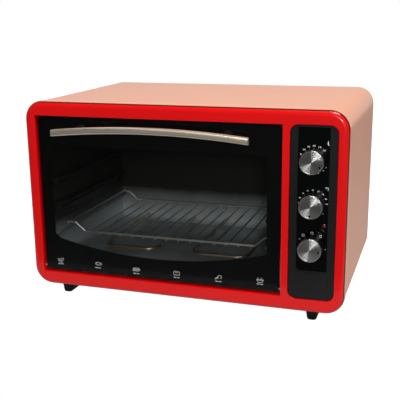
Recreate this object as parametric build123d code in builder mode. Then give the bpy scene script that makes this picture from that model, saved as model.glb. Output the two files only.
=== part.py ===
from build123d import *
import math
import os

os.makedirs("parts", exist_ok=True)

# Painted body, without feet, handle and knobs
BODY_W = 520.0
BODY_H = 308.5
BODY_D = 330.0
CORNER_R = 30.0
FOOT_H = 18.0

# Sheet thicknesses and the gaps between neighbouring pieces
SHEET = 1.0
FRAME_SHEET = 1.5
GAP = 0.3
SHAFT_FIT = 0.05

# Front frame: the red borders round its two openings, the upright bar between them, and the panel's width
FRAME_D = 16.5
FRAME_EDGE_R = 9.0
OPENING_EDGE_R = 1.0
DOOR_OPEN_LEFT = 19.0
DOOR_OPEN_BOTTOM = 23.0
DOOR_OPEN_TOP = 23.0
MIDDLE_BAR_W = 11.0
PANEL_OPEN_W = 70.0
PANEL_OPEN_RIGHT = 16.0
PANEL_OPEN_BOTTOM = 21.5
PANEL_OPEN_TOP = 22.0
PANEL_OPEN_R = 12.5

# Casing wrap behind the frame
CASING_INSET = 1.0
CASING_HEM = 12.0
REAR_HEM = 12.0

# Oven chamber: how far its walls lie inside the door opening, and its back before the body's back
CHAMBER_STEP_SIDE = 18.0
CHAMBER_STEP_LOW = 15.0
CHAMBER_STEP_TOP = 23.5
CHAMBER_BACK_GAP = 39.0
RUNNER_REACH = 9.0
RUNNER_EDGE = 4.0
RUNNER_SLOPE = 9.0
RUNNER_ABOVE_FLOOR = 56.0
RUNNER_BELOW_ROOF = 82.0
RUNNER_COUNT = 3
FLANGE_LAP = 9.3

# Door
DOOR_SIDE_GAP = 2.5
DOOR_TOP_GAP = 2.5
DOOR_BOTTOM_GAP = 3.6
GLASS_RECESS = 2.0
GLASS_T = 4.0
GLASS_CORNER_R = 2.5
DOOR_FRAME_D = 7.5
DOOR_FRAME_INSET = 1.0
WINDOW_R = 8.0
WINDOW_SIDE_BORDER = 16.5
WINDOW_LOW_BORDER = 29.4
WINDOW_TOP_BORDER = 40.0
HINGE_DEPTH = 8.0
HINGE_ABOVE_GLASS = 5.0
PIN_R = 1.5
PIN_HEAD_R = 1.9
PIN_HEAD_T = 1.5
PIN_OUT = 11.8
BRACKET_T = 2.0
BRACKET_TAB = 5.2
BRACKET_H = 22.0
SPRING_WIRE = 0.9
SPRING_PITCH = 1.1
SPRING_TURNS = 3
SPRING_LEG = 6.0

# Handle
HANDLE_FROM_SIDE = 41.5
HANDLE_BELOW_TOP = 20.2
HANDLE_H = 10.4
HANDLE_T = 9.0
HANDLE_OUT = 25.0
HANDLE_RISE = 8.6
HANDLE_FRONT_R = 3.4
HANDLE_BACK_R = 1.5
POST_FROM_END = 38.0
POST_R = 5.0
POST_FOOT_R = 7.5
POST_FOOT_T = 2.0
POST_FLARE = 6.0
HANDLE_SCREW_R = 2.0
HANDLE_SCREW_L = 16.0
HANDLE_SCREW_HEAD_R = 4.0
HANDLE_SCREW_HEAD_T = 2.5

# Control panel
PANEL_RECESS = 2.0
PANEL_WALL = 2.0
STRIP_SIDE = 12.0
STRIP_FROM_TOP = 3.5
STRIP_FROM_LOW = 45.5
STRIP_DEEP = 1.2
STRIP_R = 3.0
PANEL_EDGE_R = 0.8
DIAL_GAP = 5.0
DIAL_RAISE = 0.7
PLATE_SIDE = 11.0
PLATE_H = 26.0
PLATE_FROM_LOW = 29.5
PLATE_RAISE = 0.6
KNOB_SHIFT = 4.6
KNOB_END_ROOM = 21.0
BUSHING_R = 4.5
BUSHING_L = 11.0
BOSS_FROM_SIDE = 9.0
BOSS_FROM_END = 20.5
BOSS_R = 3.5
PANEL_CLEAR = 0.3
LAMP_X = 17.5
LAMP_R = 3.0
LAMP_DOME = 2.0
LAMP_FLANGE_R = 4.2
LAMP_FLANGE_T = 1.8

# Knobs
KNOB_CLEAR = 0.8
KNOB_L = 18.7
KNOB_R = 18.2
KNOB_TOP_R = 17.3
KNOB_WALL = 2.4
HUB_R = 6.0
SHAFT_R = 3.0
SHAFT_FLAT = 0.8
SHAFT_TAIL = 9.0
CAP_T = 3.0
CAP_R = 17.3
CAP_RIM = 1.7
CAP_DISH = 0.35
CAP_EDGE_R = 0.7
POINTER_R = 1.5
POINTER_DEEP = 0.7
POINTER_AT = 13.2
THERMOSTAT_REST = -29.0
TIMER_REST = -93.0
SELECTOR_REST = -8.0

# Controls behind the panel
CONTROL_PLATE_T = 1.5
CONTROL_PLATE_LAP_X = 1.3
CONTROL_PLATE_LAP_Z = 7.0
HOUSING_W = 38.0
HOUSING_R = 4.0
TIMER_R = 24.0
BELL_R = 20.0
BELL_T = 9.0
TAB_W = 6.3
TAB_T = 0.8
TAB_L = 8.0
TAB_SPREAD = 12.0
THERMOSTAT_DEEP = 24.0
TIMER_DEEP = 34.0
SELECTOR_DEEP = 28.0
LAMP_BODY_R = 5.0
LAMP_BODY_L = 26.0
BULB_R = 3.0
BULB_L = 84.0
BULB_FRONT = 100.0
BULB_BELOW_HEATER = 33.0
CAPILLARY_R = 0.9
CAPILLARY_BEND_R = 3.0
CAPILLARY_OUT = 15.0
CAPILLARY_DROP_Y = 75.0
SHIELD_GAP = 12.0
SHIELD_BELOW_TOP = 38.5
SHIELD_FOOT = 10.0
SHIELD_END_GAP = 24.0
BLOCK_W = 46.0
BLOCK_D = 20.0
BLOCK_H = 17.0
BLOCK_FROM_SIDE = 67.0
BLOCK_FROM_BACK = 40.0
BLOCK_SCREW_R = 2.0
BLOCK_SCREW_DEEP = 5.0
BLOCK_SLOT = 2.0
BLOCK_WAYS = 3

# Heating elements
HEATER_R = 3.25
HEATER_BEND_R = 20.0
HEATER_FROM_WALL = 56.5
HEATER_APART = 65.0
HEATER_FRONT = 80.0
HEATER_ABOVE_FLOOR = 12.0
HEATER_BELOW_ROOF = 15.0
HEATER_TAIL = 12.0
PIN_TAIL = 9.0
TERMINAL_PIN_R = 1.5
MOUNT_PLATE_LAP = 11.5
MOUNT_PLATE_H = 20.0
MOUNT_PLATE_T = 1.5
BEAD_R = 5.5
BEAD_L = 8.0

# Wire rack
RACK_FRONT = 52.0
RACK_BACK_GAP = 9.0
RACK_SIDE_R = 2.5
RACK_CROSS_R = 2.0
RACK_WIRE_R = 1.25
RACK_DROP = 15.0
RACK_SIDE_GAP = 2.8
RACK_END_W = 12.5
RACK_SLOPE_W = 17.0
RACK_WIRES = 15
RACK_WIRE_MARGIN = 6.0
RACK_WELD = 0.4
RACK_BEND_R = 5.0
WIRE_OVERHANG = 3.0

# Feet
FOOT_FROM_SIDE = 51.0
FOOT_FRONT = 14.0
FOOT_FROM_BACK = 18.0
FOOT_W = 20.0
FOOT_L = 46.0
FOOT_TAPER = 3.0
FOOT_EDGE_R = 3.0
FOOT_CORNER_R = 8.0

# Rear panel, base panel and inlet
VENT_L = 34.0
VENT_W = 4.0
VENT_PITCH_X = 46.0
VENT_PITCH_Z = 12.0
GLAND_FROM_SIDE = 55.0
GLAND_Z = 52.0
GLAND_R = 8.0
GLAND_FLANGE_R = 11.5
GLAND_BORE_R = 3.8
GLAND_OUT = 9.0
GLAND_FLANGE_T = 2.5
GLAND_TIP_WALL = 2.2
GLAND_SNAP = 1.3
GLAND_SNAP_L = 3.5
GLAND_IN = 9.0
PAN_HEAD_R = 3.6
PAN_HEAD_H = 2.0
PAN_SHANK_R = 1.5
PAN_SHANK_L = 7.0

# Places worked out from the sizes above
HANDLE_REACH = HANDLE_OUT + HANDLE_T / 2
FRONT_Y = HANDLE_REACH - (HANDLE_REACH + BODY_D + GLAND_OUT) / 2
BODY_MID_Z = FOOT_H + BODY_H / 2
DOOR_OPEN_W = BODY_W - DOOR_OPEN_LEFT - MIDDLE_BAR_W - PANEL_OPEN_W - PANEL_OPEN_RIGHT
DOOR_OPEN_H = BODY_H - DOOR_OPEN_BOTTOM - DOOR_OPEN_TOP
DOOR_X = -BODY_W / 2 + DOOR_OPEN_LEFT + DOOR_OPEN_W / 2
DOOR_OPEN_MID_Z = FOOT_H + DOOR_OPEN_BOTTOM + DOOR_OPEN_H / 2
PANEL_OPEN_H = BODY_H - PANEL_OPEN_BOTTOM - PANEL_OPEN_TOP
PANEL_X = BODY_W / 2 - PANEL_OPEN_RIGHT - PANEL_OPEN_W / 2
PANEL_MID_Z = FOOT_H + PANEL_OPEN_BOTTOM + PANEL_OPEN_H / 2
LIP_D = FRAME_D - SHEET
CASING_W = BODY_W - 2 * CASING_INSET
CASING_H = BODY_H - 2 * CASING_INSET
CASING_R = CORNER_R - CASING_INSET
CASING_START = FRAME_D + GAP
CASING_END = BODY_D - SHEET
STRIP_W = PANEL_OPEN_W - 2 * STRIP_SIDE
STRIP_H = PANEL_OPEN_H - STRIP_FROM_TOP - STRIP_FROM_LOW
STRIP_MID_Z = FOOT_H + PANEL_OPEN_BOTTOM + STRIP_FROM_LOW + STRIP_H / 2
KNOB_PITCH = (STRIP_H - KNOB_END_ROOM) / 3
KNOB_Z = [STRIP_MID_Z - KNOB_SHIFT + KNOB_PITCH * step for step in (1, 0, -1)]
CAVITY_W = DOOR_OPEN_W - 2 * CHAMBER_STEP_SIDE
CAVITY_H = DOOR_OPEN_H - CHAMBER_STEP_LOW - CHAMBER_STEP_TOP
CAVITY_FLOOR = DOOR_OPEN_BOTTOM + CHAMBER_STEP_LOW
CAVITY_BACK = BODY_D - CHAMBER_BACK_GAP
RUNNER_FIRST = CAVITY_FLOOR + RUNNER_ABOVE_FLOOR
RUNNER_PITCH = (CAVITY_H - RUNNER_ABOVE_FLOOR - RUNNER_BELOW_ROOF) / (RUNNER_COUNT - 1)
HEATER_LOW_Z = CAVITY_FLOOR + HEATER_ABOVE_FLOOR
HEATER_HIGH_Z = CAVITY_FLOOR + CAVITY_H - HEATER_BELOW_ROOF
HEATER_LOOP_W = (CAVITY_W - 2 * HEATER_FROM_WALL - HEATER_APART) / 2
HEATER_OFFSET = (HEATER_APART + HEATER_LOOP_W) / 2
BULB_Z = HEATER_HIGH_Z - BULB_BELOW_HEATER
SHIELD_X = DOOR_X + CAVITY_W / 2 + SHIELD_GAP
GLAND_X = BODY_W / 2 - GLAND_FROM_SIDE


def at_depth(depth):
    # An upright plane that far behind the front face; extruding it comes towards the front
    return Plane.XZ.offset(-(FRONT_Y + depth))


def level(height):
    # A height above the underside of the body, as a height above the table
    return FOOT_H + height


def keep(built, name):
    built.part.label = name
    export_step(built.part, f"parts/{name}.step")


# Front frame: a pressed steel bezel with a rolled outer edge and two openings with turned-in lips
with BuildPart() as frame_hollow:
    with BuildSketch(at_depth(FRAME_D)):
        with Locations((0, BODY_MID_Z)):
            RectangleRounded(BODY_W - 2 * FRAME_SHEET, BODY_H - 2 * FRAME_SHEET, CORNER_R - FRAME_SHEET)
    extrude(amount=FRAME_D - FRAME_SHEET)
    fillet(frame_hollow.faces().sort_by(Axis.Y)[0].edges(), FRAME_EDGE_R - FRAME_SHEET)
    with BuildSketch(at_depth(LIP_D)):
        with Locations((DOOR_X, DOOR_OPEN_MID_Z)):
            Rectangle(DOOR_OPEN_W + 2 * FRAME_SHEET, DOOR_OPEN_H + 2 * FRAME_SHEET)
        with Locations((PANEL_X, PANEL_MID_Z)):
            RectangleRounded(PANEL_OPEN_W + 2 * FRAME_SHEET, PANEL_OPEN_H + 2 * FRAME_SHEET,
                             PANEL_OPEN_R + FRAME_SHEET)
    extrude(amount=LIP_D, mode=Mode.SUBTRACT)

with BuildPart() as front_frame:
    with BuildSketch(at_depth(FRAME_D)):
        with Locations((0, BODY_MID_Z)):
            RectangleRounded(BODY_W, BODY_H, CORNER_R)
    extrude(amount=FRAME_D)
    fillet(front_frame.faces().sort_by(Axis.Y)[0].edges(), FRAME_EDGE_R)
    add(frame_hollow.part, mode=Mode.SUBTRACT)
    with BuildSketch(at_depth(FRAME_D)):
        with Locations((DOOR_X, DOOR_OPEN_MID_Z)):
            Rectangle(DOOR_OPEN_W, DOOR_OPEN_H)
        with Locations((PANEL_X, PANEL_MID_Z)):
            RectangleRounded(PANEL_OPEN_W, PANEL_OPEN_H, PANEL_OPEN_R)
    extrude(amount=FRAME_D, mode=Mode.SUBTRACT)
    front_wires = front_frame.faces().sort_by(Axis.Y)[0].inner_wires()
    fillet([edge for wire in front_wires for edge in wire.edges()], OPENING_EDGE_R)

# Hinge line of the door, and the pin holes through the lips of the door opening
GLASS_LOW = level(DOOR_OPEN_BOTTOM + DOOR_BOTTOM_GAP)
HINGE_Y = FRONT_Y + HINGE_DEPTH
HINGE_Z = GLASS_LOW + HINGE_ABOVE_GLASS
with BuildPart() as pin_holes:
    with BuildSketch(Plane.YZ.offset(DOOR_X - DOOR_OPEN_W / 2 - FRAME_SHEET - GAP)):
        with Locations((HINGE_Y, HINGE_Z)):
            Circle(PIN_R + 2 * GAP)
    extrude(amount=DOOR_OPEN_W + 2 * FRAME_SHEET + 2 * GAP)
with front_frame:
    add(pin_holes.part, mode=Mode.SUBTRACT)
keep(front_frame, "front_frame")

# Holes for the screws that hold the rear panel and the base panel to the casing's hems
SCREW_SPREAD_X = CASING_W - REAR_HEM
SCREW_SPREAD_Z = CASING_H - REAR_HEM
BASE_W = CASING_W - 2 * CASING_R
BASE_Z = level(CASING_INSET) - SHEET
BASE_MID_Y = FRONT_Y + (CASING_START + CASING_END) / 2
BASE_SCREW_X = BASE_W - CASING_HEM
BASE_SCREW_Y = BODY_D / 3
with BuildPart() as casing_screw_holes:
    with BuildSketch(at_depth(BODY_D)):
        with Locations((0, BODY_MID_Z)):
            with GridLocations(SCREW_SPREAD_X / 2, SCREW_SPREAD_Z, 2, 2):
                Circle(PAN_SHANK_R + SHAFT_FIT)
            with GridLocations(SCREW_SPREAD_X, SCREW_SPREAD_Z / 2, 2, 2):
                Circle(PAN_SHANK_R + SHAFT_FIT)
    extrude(amount=3 * SHEET)
    with BuildSketch(Plane.XY.offset(BASE_Z)):
        with Locations((0, BASE_MID_Y)):
            with GridLocations(BASE_SCREW_X, BASE_SCREW_Y, 2, 3):
                Circle(PAN_SHANK_R + SHAFT_FIT)
    extrude(amount=3 * SHEET)

# Outer casing: one painted sheet wrapped round all four corners, hemmed inwards below and behind
with BuildPart() as outer_casing:
    with BuildSketch(at_depth(CASING_END)):
        with Locations((0, BODY_MID_Z)):
            RectangleRounded(CASING_W, CASING_H, CASING_R)
            RectangleRounded(CASING_W - 2 * SHEET, CASING_H - 2 * SHEET, CASING_R - SHEET,
                             mode=Mode.SUBTRACT)
    extrude(amount=CASING_END - CASING_START)
    with BuildSketch(at_depth(CASING_END)):
        with Locations((0, BODY_MID_Z)):
            RectangleRounded(CASING_W, CASING_H, CASING_R)
            RectangleRounded(CASING_W - 2 * REAR_HEM, CASING_H - 2 * REAR_HEM, CASING_R - REAR_HEM,
                             mode=Mode.SUBTRACT)
    extrude(amount=SHEET)
    with BuildSketch(Plane.XY.offset(level(CASING_INSET) - SHEET)):
        with Locations((0, FRONT_Y + (CASING_START + CASING_END) / 2)):
            Rectangle(CASING_W - 2 * (CASING_R + CASING_HEM), BODY_D)
    extrude(amount=3 * SHEET, mode=Mode.SUBTRACT)
    add(casing_screw_holes.part, mode=Mode.SUBTRACT)
keep(outer_casing, "outer_casing")

# Base panel: the flat bottom, lapped under the casing's hems, with cooling slots
with BuildPart() as base_panel:
    with BuildSketch(Plane.XY.offset(BASE_Z)):
        with Locations((0, BASE_MID_Y)):
            Rectangle(BASE_W, CASING_END - CASING_START)
    extrude(amount=SHEET)
    with BuildSketch(Plane.XY.offset(BASE_Z)):
        with Locations((DOOR_X, BASE_MID_Y), (PANEL_X - GLAND_R, BASE_MID_Y)):
            with GridLocations(VENT_PITCH_X, 3 * VENT_PITCH_Z, 1, 4):
                SlotOverall(VENT_L, VENT_W)
    extrude(amount=SHEET, mode=Mode.SUBTRACT)
    add(casing_screw_holes.part, mode=Mode.SUBTRACT)
keep(base_panel, "base_panel")

# Rear panel: flat sheet screwed on the casing's rear hem, with two fields of cooling slots
with BuildPart() as rear_panel:
    with BuildSketch(at_depth(BODY_D)):
        with Locations((0, BODY_MID_Z)):
            RectangleRounded(CASING_W - 2 * SHEET, CASING_H - 2 * SHEET, CASING_R - SHEET)
        with Locations((DOOR_X, BODY_MID_Z + BODY_H / 4)):
            with GridLocations(VENT_PITCH_X, VENT_PITCH_Z, 3, 5):
                SlotOverall(VENT_L, VENT_W, mode=Mode.SUBTRACT)
        with Locations((PANEL_X - GLAND_R, BODY_MID_Z)):
            with GridLocations(VENT_PITCH_X, VENT_PITCH_Z, 1, 9):
                SlotOverall(VENT_L, VENT_W, mode=Mode.SUBTRACT)
        with Locations((GLAND_X, level(GLAND_Z))):
            Circle(GLAND_R + SHAFT_FIT, mode=Mode.SUBTRACT)
    extrude(amount=SHEET)
    add(casing_screw_holes.part, mode=Mode.SUBTRACT)
keep(rear_panel, "rear_panel")


def turned(profile):
    # A piece turned about the Y axis from (radius, depth) points
    with BuildPart() as piece:
        with BuildSketch(Plane.XY):
            with BuildLine():
                Polyline(*profile, close=True)
            make_face()
        revolve(axis=Axis.Y)
    return piece


# Oven chamber: aluminised sheet folded to a box, with three pressed runners in each side wall
def chamber_outline():
    half = CAVITY_W / 2
    wall = [(half, level(CAVITY_FLOOR))]
    for step in range(RUNNER_COUNT):
        ledge = level(RUNNER_FIRST) + RUNNER_PITCH * step
        wall.append((half, ledge - RUNNER_EDGE - RUNNER_SLOPE))
        wall.append((half - RUNNER_REACH, ledge - RUNNER_EDGE))
        wall.append((half - RUNNER_REACH, ledge))
        wall.append((half, ledge))
    wall.append((half, level(CAVITY_FLOOR) + CAVITY_H))
    right = [(DOOR_X + x, z) for x, z in wall]
    left = [(DOOR_X - x, z) for x, z in reversed(wall)]
    return right + left


HEATER_LEGS = [DOOR_X + side * HEATER_OFFSET + leg * HEATER_LOOP_W / 2 for side in (-1, 1) for leg in (-1, 1)]
HEATER_HEIGHTS = [level(HEATER_LOW_Z), level(HEATER_HIGH_Z)]
BULB_X = DOOR_X + CAVITY_W / 2 - GAP - BULB_R
CAPILLARY_TURN_Y = FRONT_Y + BULB_FRONT + BULB_L + 2 * CAPILLARY_BEND_R
with BuildPart() as oven_chamber:
    with BuildSketch(at_depth(CAVITY_BACK + SHEET)):
        with BuildLine():
            Polyline(*chamber_outline(), close=True)
        make_face()
        offset(amount=SHEET, kind=Kind.INTERSECTION)
    extrude(amount=CAVITY_BACK + SHEET - LIP_D)
    with BuildSketch(at_depth(LIP_D + SHEET)):
        with Locations((DOOR_X, DOOR_OPEN_MID_Z)):
            Rectangle(DOOR_OPEN_W + 2 * FLANGE_LAP, DOOR_OPEN_H + 2 * FLANGE_LAP)
    extrude(amount=SHEET)
    with BuildSketch(at_depth(CAVITY_BACK)):
        with BuildLine():
            Polyline(*chamber_outline(), close=True)
        make_face()
    extrude(amount=CAVITY_BACK - LIP_D, mode=Mode.SUBTRACT)
    with BuildSketch(at_depth(CAVITY_BACK + SHEET)):
        with Locations(*[(x, z) for x in HEATER_LEGS for z in HEATER_HEIGHTS]):
            Circle(HEATER_R + GAP)
    extrude(amount=SHEET, mode=Mode.SUBTRACT)
    with BuildSketch(Plane.YZ.offset(DOOR_X + CAVITY_W / 2)):
        with Locations((CAPILLARY_TURN_Y, level(BULB_Z))):
            Circle(CAPILLARY_R + GAP)
    extrude(amount=SHEET, mode=Mode.SUBTRACT)
keep(oven_chamber, "oven_chamber")

# Heat shield: an upright sheet between the chamber and the controls, standing on the base panel
with BuildPart() as heat_shield:
    with BuildSketch(at_depth(CAVITY_BACK)):
        with Locations((SHIELD_X, BASE_Z + SHEET)):
            Rectangle(SHEET, BODY_H - SHIELD_BELOW_TOP, align=(Align.MIN, Align.MIN))
            Rectangle(SHIELD_FOOT, SHEET, align=(Align.MIN, Align.MIN))
    extrude(amount=CAVITY_BACK - SHIELD_END_GAP)
    with BuildSketch(Plane.YZ.offset(SHIELD_X)):
        with Locations((CAPILLARY_TURN_Y, level(BULB_Z))):
            Circle(CAPILLARY_R + GAP)
    extrude(amount=SHEET, mode=Mode.SUBTRACT)
keep(heat_shield, "heat_shield")


# Heating elements: sheathed tubes bent to a U, with a bare terminal pin at each end
def heater(centre_x, height):
    left = centre_x - HEATER_LOOP_W / 2
    right = centre_x + HEATER_LOOP_W / 2
    front = FRONT_Y + HEATER_FRONT
    rear = FRONT_Y + CAVITY_BACK + HEATER_TAIL
    with BuildPart() as tube:
        with BuildLine() as route:
            FilletPolyline((left, rear, height), (left, front, height), (right, front, height),
                           (right, rear, height), radius=HEATER_BEND_R)
        with BuildSketch(Plane(origin=(left, rear, height), z_dir=(0, -1, 0))):
            Circle(HEATER_R)
        sweep(path=route.line)
        with BuildSketch(at_depth(CAVITY_BACK + HEATER_TAIL + PIN_TAIL)):
            with Locations((left, height), (right, height)):
                Circle(TERMINAL_PIN_R)
        extrude(amount=PIN_TAIL)
    return tube


for row, height in zip(("lower", "upper"), HEATER_HEIGHTS):
    for side, sign in (("left", -1), ("right", 1)):
        keep(heater(DOOR_X + sign * HEATER_OFFSET, height), f"{row}_heater_{side}")

# Mounting plates and ceramic beads of the heating elements, on the back of the chamber
with BuildPart() as heater_plates:
    with BuildSketch(at_depth(CAVITY_BACK + SHEET + MOUNT_PLATE_T)):
        with Locations(*[(DOOR_X + sign * HEATER_OFFSET, z) for sign in (-1, 1) for z in HEATER_HEIGHTS]):
            RectangleRounded(HEATER_LOOP_W + 2 * MOUNT_PLATE_LAP, MOUNT_PLATE_H, MOUNT_PLATE_H / 4)
        with Locations(*[(x, z) for x in HEATER_LEGS for z in HEATER_HEIGHTS]):
            Circle(HEATER_R + SHAFT_FIT, mode=Mode.SUBTRACT)
    extrude(amount=MOUNT_PLATE_T)
keep(heater_plates, "heater_plates")

with BuildPart() as heater_beads:
    with BuildSketch(at_depth(CAVITY_BACK + SHEET + MOUNT_PLATE_T + BEAD_L)):
        with Locations(*[(x, z) for x in HEATER_LEGS for z in HEATER_HEIGHTS]):
            Circle(BEAD_R)
            Circle(HEATER_R + SHAFT_FIT, mode=Mode.SUBTRACT)
    extrude(amount=BEAD_L)
keep(heater_beads, "heater_beads")

# Wire rack: two side wires that ride on the runners, dropped cross wires and fifteen bars between them
RACK_D = CAVITY_BACK - RACK_FRONT - RACK_BACK_GAP
RACK_HALF = CAVITY_W / 2 - RACK_SIDE_GAP - RACK_SIDE_R
RACK_HIGH = level(RUNNER_FIRST) + GAP + RACK_SIDE_R
RACK_LOW = RACK_HIGH - RACK_DROP
RACK_BAR_Z = RACK_LOW - RACK_CROSS_R - RACK_WIRE_R + RACK_WELD
with BuildPart() as rack_cross_wire:
    with BuildLine() as cross_route:
        flat = RACK_HALF - RACK_END_W
        low = flat - RACK_SLOPE_W
        FilletPolyline((DOOR_X - RACK_HALF, 0, RACK_HIGH), (DOOR_X - flat, 0, RACK_HIGH),
                       (DOOR_X - low, 0, RACK_LOW), (DOOR_X + low, 0, RACK_LOW),
                       (DOOR_X + flat, 0, RACK_HIGH), (DOOR_X + RACK_HALF, 0, RACK_HIGH),
                       radius=RACK_BEND_R)
    with BuildSketch(Plane(origin=(DOOR_X - RACK_HALF, 0, RACK_HIGH), z_dir=(1, 0, 0))):
        Circle(RACK_CROSS_R)
    sweep(path=cross_route.line)

with BuildPart() as wire_rack:
    with BuildSketch(at_depth(RACK_FRONT + RACK_D + WIRE_OVERHANG)):
        with Locations((DOOR_X, RACK_BAR_Z)):
            with GridLocations(2 * (low - RACK_WIRE_MARGIN) / (RACK_WIRES - 1), 1, RACK_WIRES, 1):
                Circle(RACK_WIRE_R)
        with Locations((DOOR_X - RACK_HALF, RACK_HIGH), (DOOR_X + RACK_HALF, RACK_HIGH)):
            Circle(RACK_SIDE_R)
    extrude(amount=RACK_D + 2 * WIRE_OVERHANG)
    with Locations((0, FRONT_Y + RACK_FRONT, 0), (0, FRONT_Y + RACK_FRONT + RACK_D, 0)):
        add(rack_cross_wire.part)
keep(wire_rack, "wire_rack")

# Door glass: one tempered pane that fills the door opening
DOOR_W = DOOR_OPEN_W - 2 * DOOR_SIDE_GAP
DOOR_H = DOOR_OPEN_H - DOOR_TOP_GAP - DOOR_BOTTOM_GAP
DOOR_MID_Z = GLASS_LOW + DOOR_H / 2
GLASS_BACK = GLASS_RECESS + GLASS_T
HANDLE_L = DOOR_W - 2 * HANDLE_FROM_SIDE
HANDLE_END_Z = GLASS_LOW + DOOR_H - HANDLE_BELOW_TOP
HANDLE_ARC_R = (HANDLE_L ** 2 / 4 + HANDLE_RISE ** 2) / (2 * HANDLE_RISE)
HANDLE_TOP_Z = HANDLE_END_Z + HANDLE_RISE
POST_SPAN = HANDLE_L - 2 * POST_FROM_END
POST_Z = HANDLE_TOP_Z - HANDLE_ARC_R + math.sqrt(HANDLE_ARC_R ** 2 - (POST_SPAN / 2) ** 2)
POSTS = [(DOOR_X - POST_SPAN / 2, POST_Z), (DOOR_X + POST_SPAN / 2, POST_Z)]
with BuildPart() as door_glass:
    with BuildSketch(at_depth(GLASS_BACK)):
        with Locations((DOOR_X, DOOR_MID_Z)):
            RectangleRounded(DOOR_W, DOOR_H, GLASS_CORNER_R)
        with Locations(*POSTS):
            Circle(HANDLE_SCREW_R + GAP, mode=Mode.SUBTRACT)
    extrude(amount=GLASS_T)
keep(door_glass, "door_glass")

# Door frame: a pressed steel ring behind the glass, its channel open towards the glass
FRAME_W = DOOR_W - 2 * DOOR_FRAME_INSET
FRAME_H = DOOR_H - 2 * DOOR_FRAME_INSET
WINDOW_W = DOOR_W - 2 * WINDOW_SIDE_BORDER
WINDOW_H = DOOR_H - WINDOW_LOW_BORDER - WINDOW_TOP_BORDER
WINDOW_MID_Z = GLASS_LOW + WINDOW_LOW_BORDER + WINDOW_H / 2
DOOR_BACK = GLASS_BACK + DOOR_FRAME_D
with BuildPart() as door_frame:
    with BuildSketch(at_depth(DOOR_BACK)):
        with Locations((DOOR_X, DOOR_MID_Z)):
            Rectangle(FRAME_W, FRAME_H)
        with Locations((DOOR_X, WINDOW_MID_Z)):
            RectangleRounded(WINDOW_W, WINDOW_H, WINDOW_R, mode=Mode.SUBTRACT)
    extrude(amount=DOOR_FRAME_D)
    with BuildSketch(at_depth(DOOR_BACK - SHEET)):
        with Locations((DOOR_X, DOOR_MID_Z)):
            Rectangle(FRAME_W - 2 * SHEET, FRAME_H - 2 * SHEET)
        with Locations((DOOR_X, WINDOW_MID_Z)):
            RectangleRounded(WINDOW_W + 2 * SHEET, WINDOW_H + 2 * SHEET, WINDOW_R + SHEET,
                             mode=Mode.SUBTRACT)
    extrude(amount=DOOR_FRAME_D - SHEET, mode=Mode.SUBTRACT)
    with BuildSketch(at_depth(DOOR_BACK)):
        with Locations(*POSTS):
            Circle(HANDLE_SCREW_HEAD_R + 2 * GAP)
    extrude(amount=SHEET, mode=Mode.SUBTRACT)
    with BuildSketch(Plane.YZ.offset(DOOR_X - DOOR_W / 2)):
        with Locations((HINGE_Y, HINGE_Z)):
            Circle(PIN_R + SHAFT_FIT)
    extrude(amount=DOOR_W, mode=Mode.SUBTRACT)
keep(door_frame, "door_frame")

# Handle bar: brushed stainless bar that rises in a long arc, with softly rounded edges
with BuildPart() as handle_bar:
    with BuildSketch(at_depth(-HANDLE_OUT + HANDLE_T / 2)):
        with BuildLine():
            for sign in (1, -1):
                shift = sign * HANDLE_H / 2
                ThreePointArc((DOOR_X - HANDLE_L / 2, HANDLE_END_Z + shift),
                              (DOOR_X, HANDLE_TOP_Z + shift),
                              (DOOR_X + HANDLE_L / 2, HANDLE_END_Z + shift))
            for sign in (1, -1):
                Line((DOOR_X + sign * HANDLE_L / 2, HANDLE_END_Z - HANDLE_H / 2),
                     (DOOR_X + sign * HANDLE_L / 2, HANDLE_END_Z + HANDLE_H / 2))
        make_face()
    extrude(amount=HANDLE_T)
    long_edges = handle_bar.edges().filter_by(lambda edge: edge.length > HANDLE_L / 2)
    fillet(long_edges.group_by(Axis.Y)[0], HANDLE_FRONT_R)
    long_edges = handle_bar.edges().filter_by(lambda edge: edge.length > HANDLE_L / 2)
    fillet(long_edges.group_by(Axis.Y)[-1], HANDLE_BACK_R)
keep(handle_bar, "handle_bar")

# Handle posts: turned spacers between the glass and the bar
BAR_BACK = -HANDLE_OUT + HANDLE_T / 2
POST_TURN = GLASS_RECESS - POST_FOOT_T
POST_BORE_R = HANDLE_SCREW_R + SHAFT_FIT
POST_BORE_END = GLASS_BACK - HANDLE_SCREW_L - GAP
post = turned([(POST_BORE_R, GLASS_RECESS), (POST_FOOT_R, GLASS_RECESS), (POST_FOOT_R, POST_TURN),
               (POST_R, POST_TURN - POST_FLARE), (POST_R, BAR_BACK), (0, BAR_BACK),
               (0, POST_BORE_END), (POST_BORE_R, POST_BORE_END)])
with BuildPart() as handle_posts:
    with Locations(*[(x, FRONT_Y, z) for x, z in POSTS]):
        add(post.part)
keep(handle_posts, "handle_posts")

# Handle screws: pan heads behind the glass, reached through holes in the door frame
screw = turned([(0, GLASS_BACK + HANDLE_SCREW_HEAD_T),
                (HANDLE_SCREW_HEAD_R, GLASS_BACK + HANDLE_SCREW_HEAD_T),
                (HANDLE_SCREW_HEAD_R, GLASS_BACK), (HANDLE_SCREW_R, GLASS_BACK),
                (HANDLE_SCREW_R, GLASS_BACK - HANDLE_SCREW_L), (0, GLASS_BACK - HANDLE_SCREW_L)])
with BuildPart() as handle_screws:
    with Locations(*[(x, FRONT_Y, z) for x, z in POSTS]):
        add(screw.part)
keep(handle_screws, "handle_screws")


# Hinge: a pin in each lower corner of the door, turning in a bracket behind the opening's lip
def hinge_side(sign):
    # Places along X at one side of the door, going outwards from the door frame's flange
    flange = DOOR_X + sign * FRAME_W / 2
    bracket = DOOR_X + sign * (DOOR_OPEN_W / 2 + FRAME_SHEET + GAP)
    return flange, bracket


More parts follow.
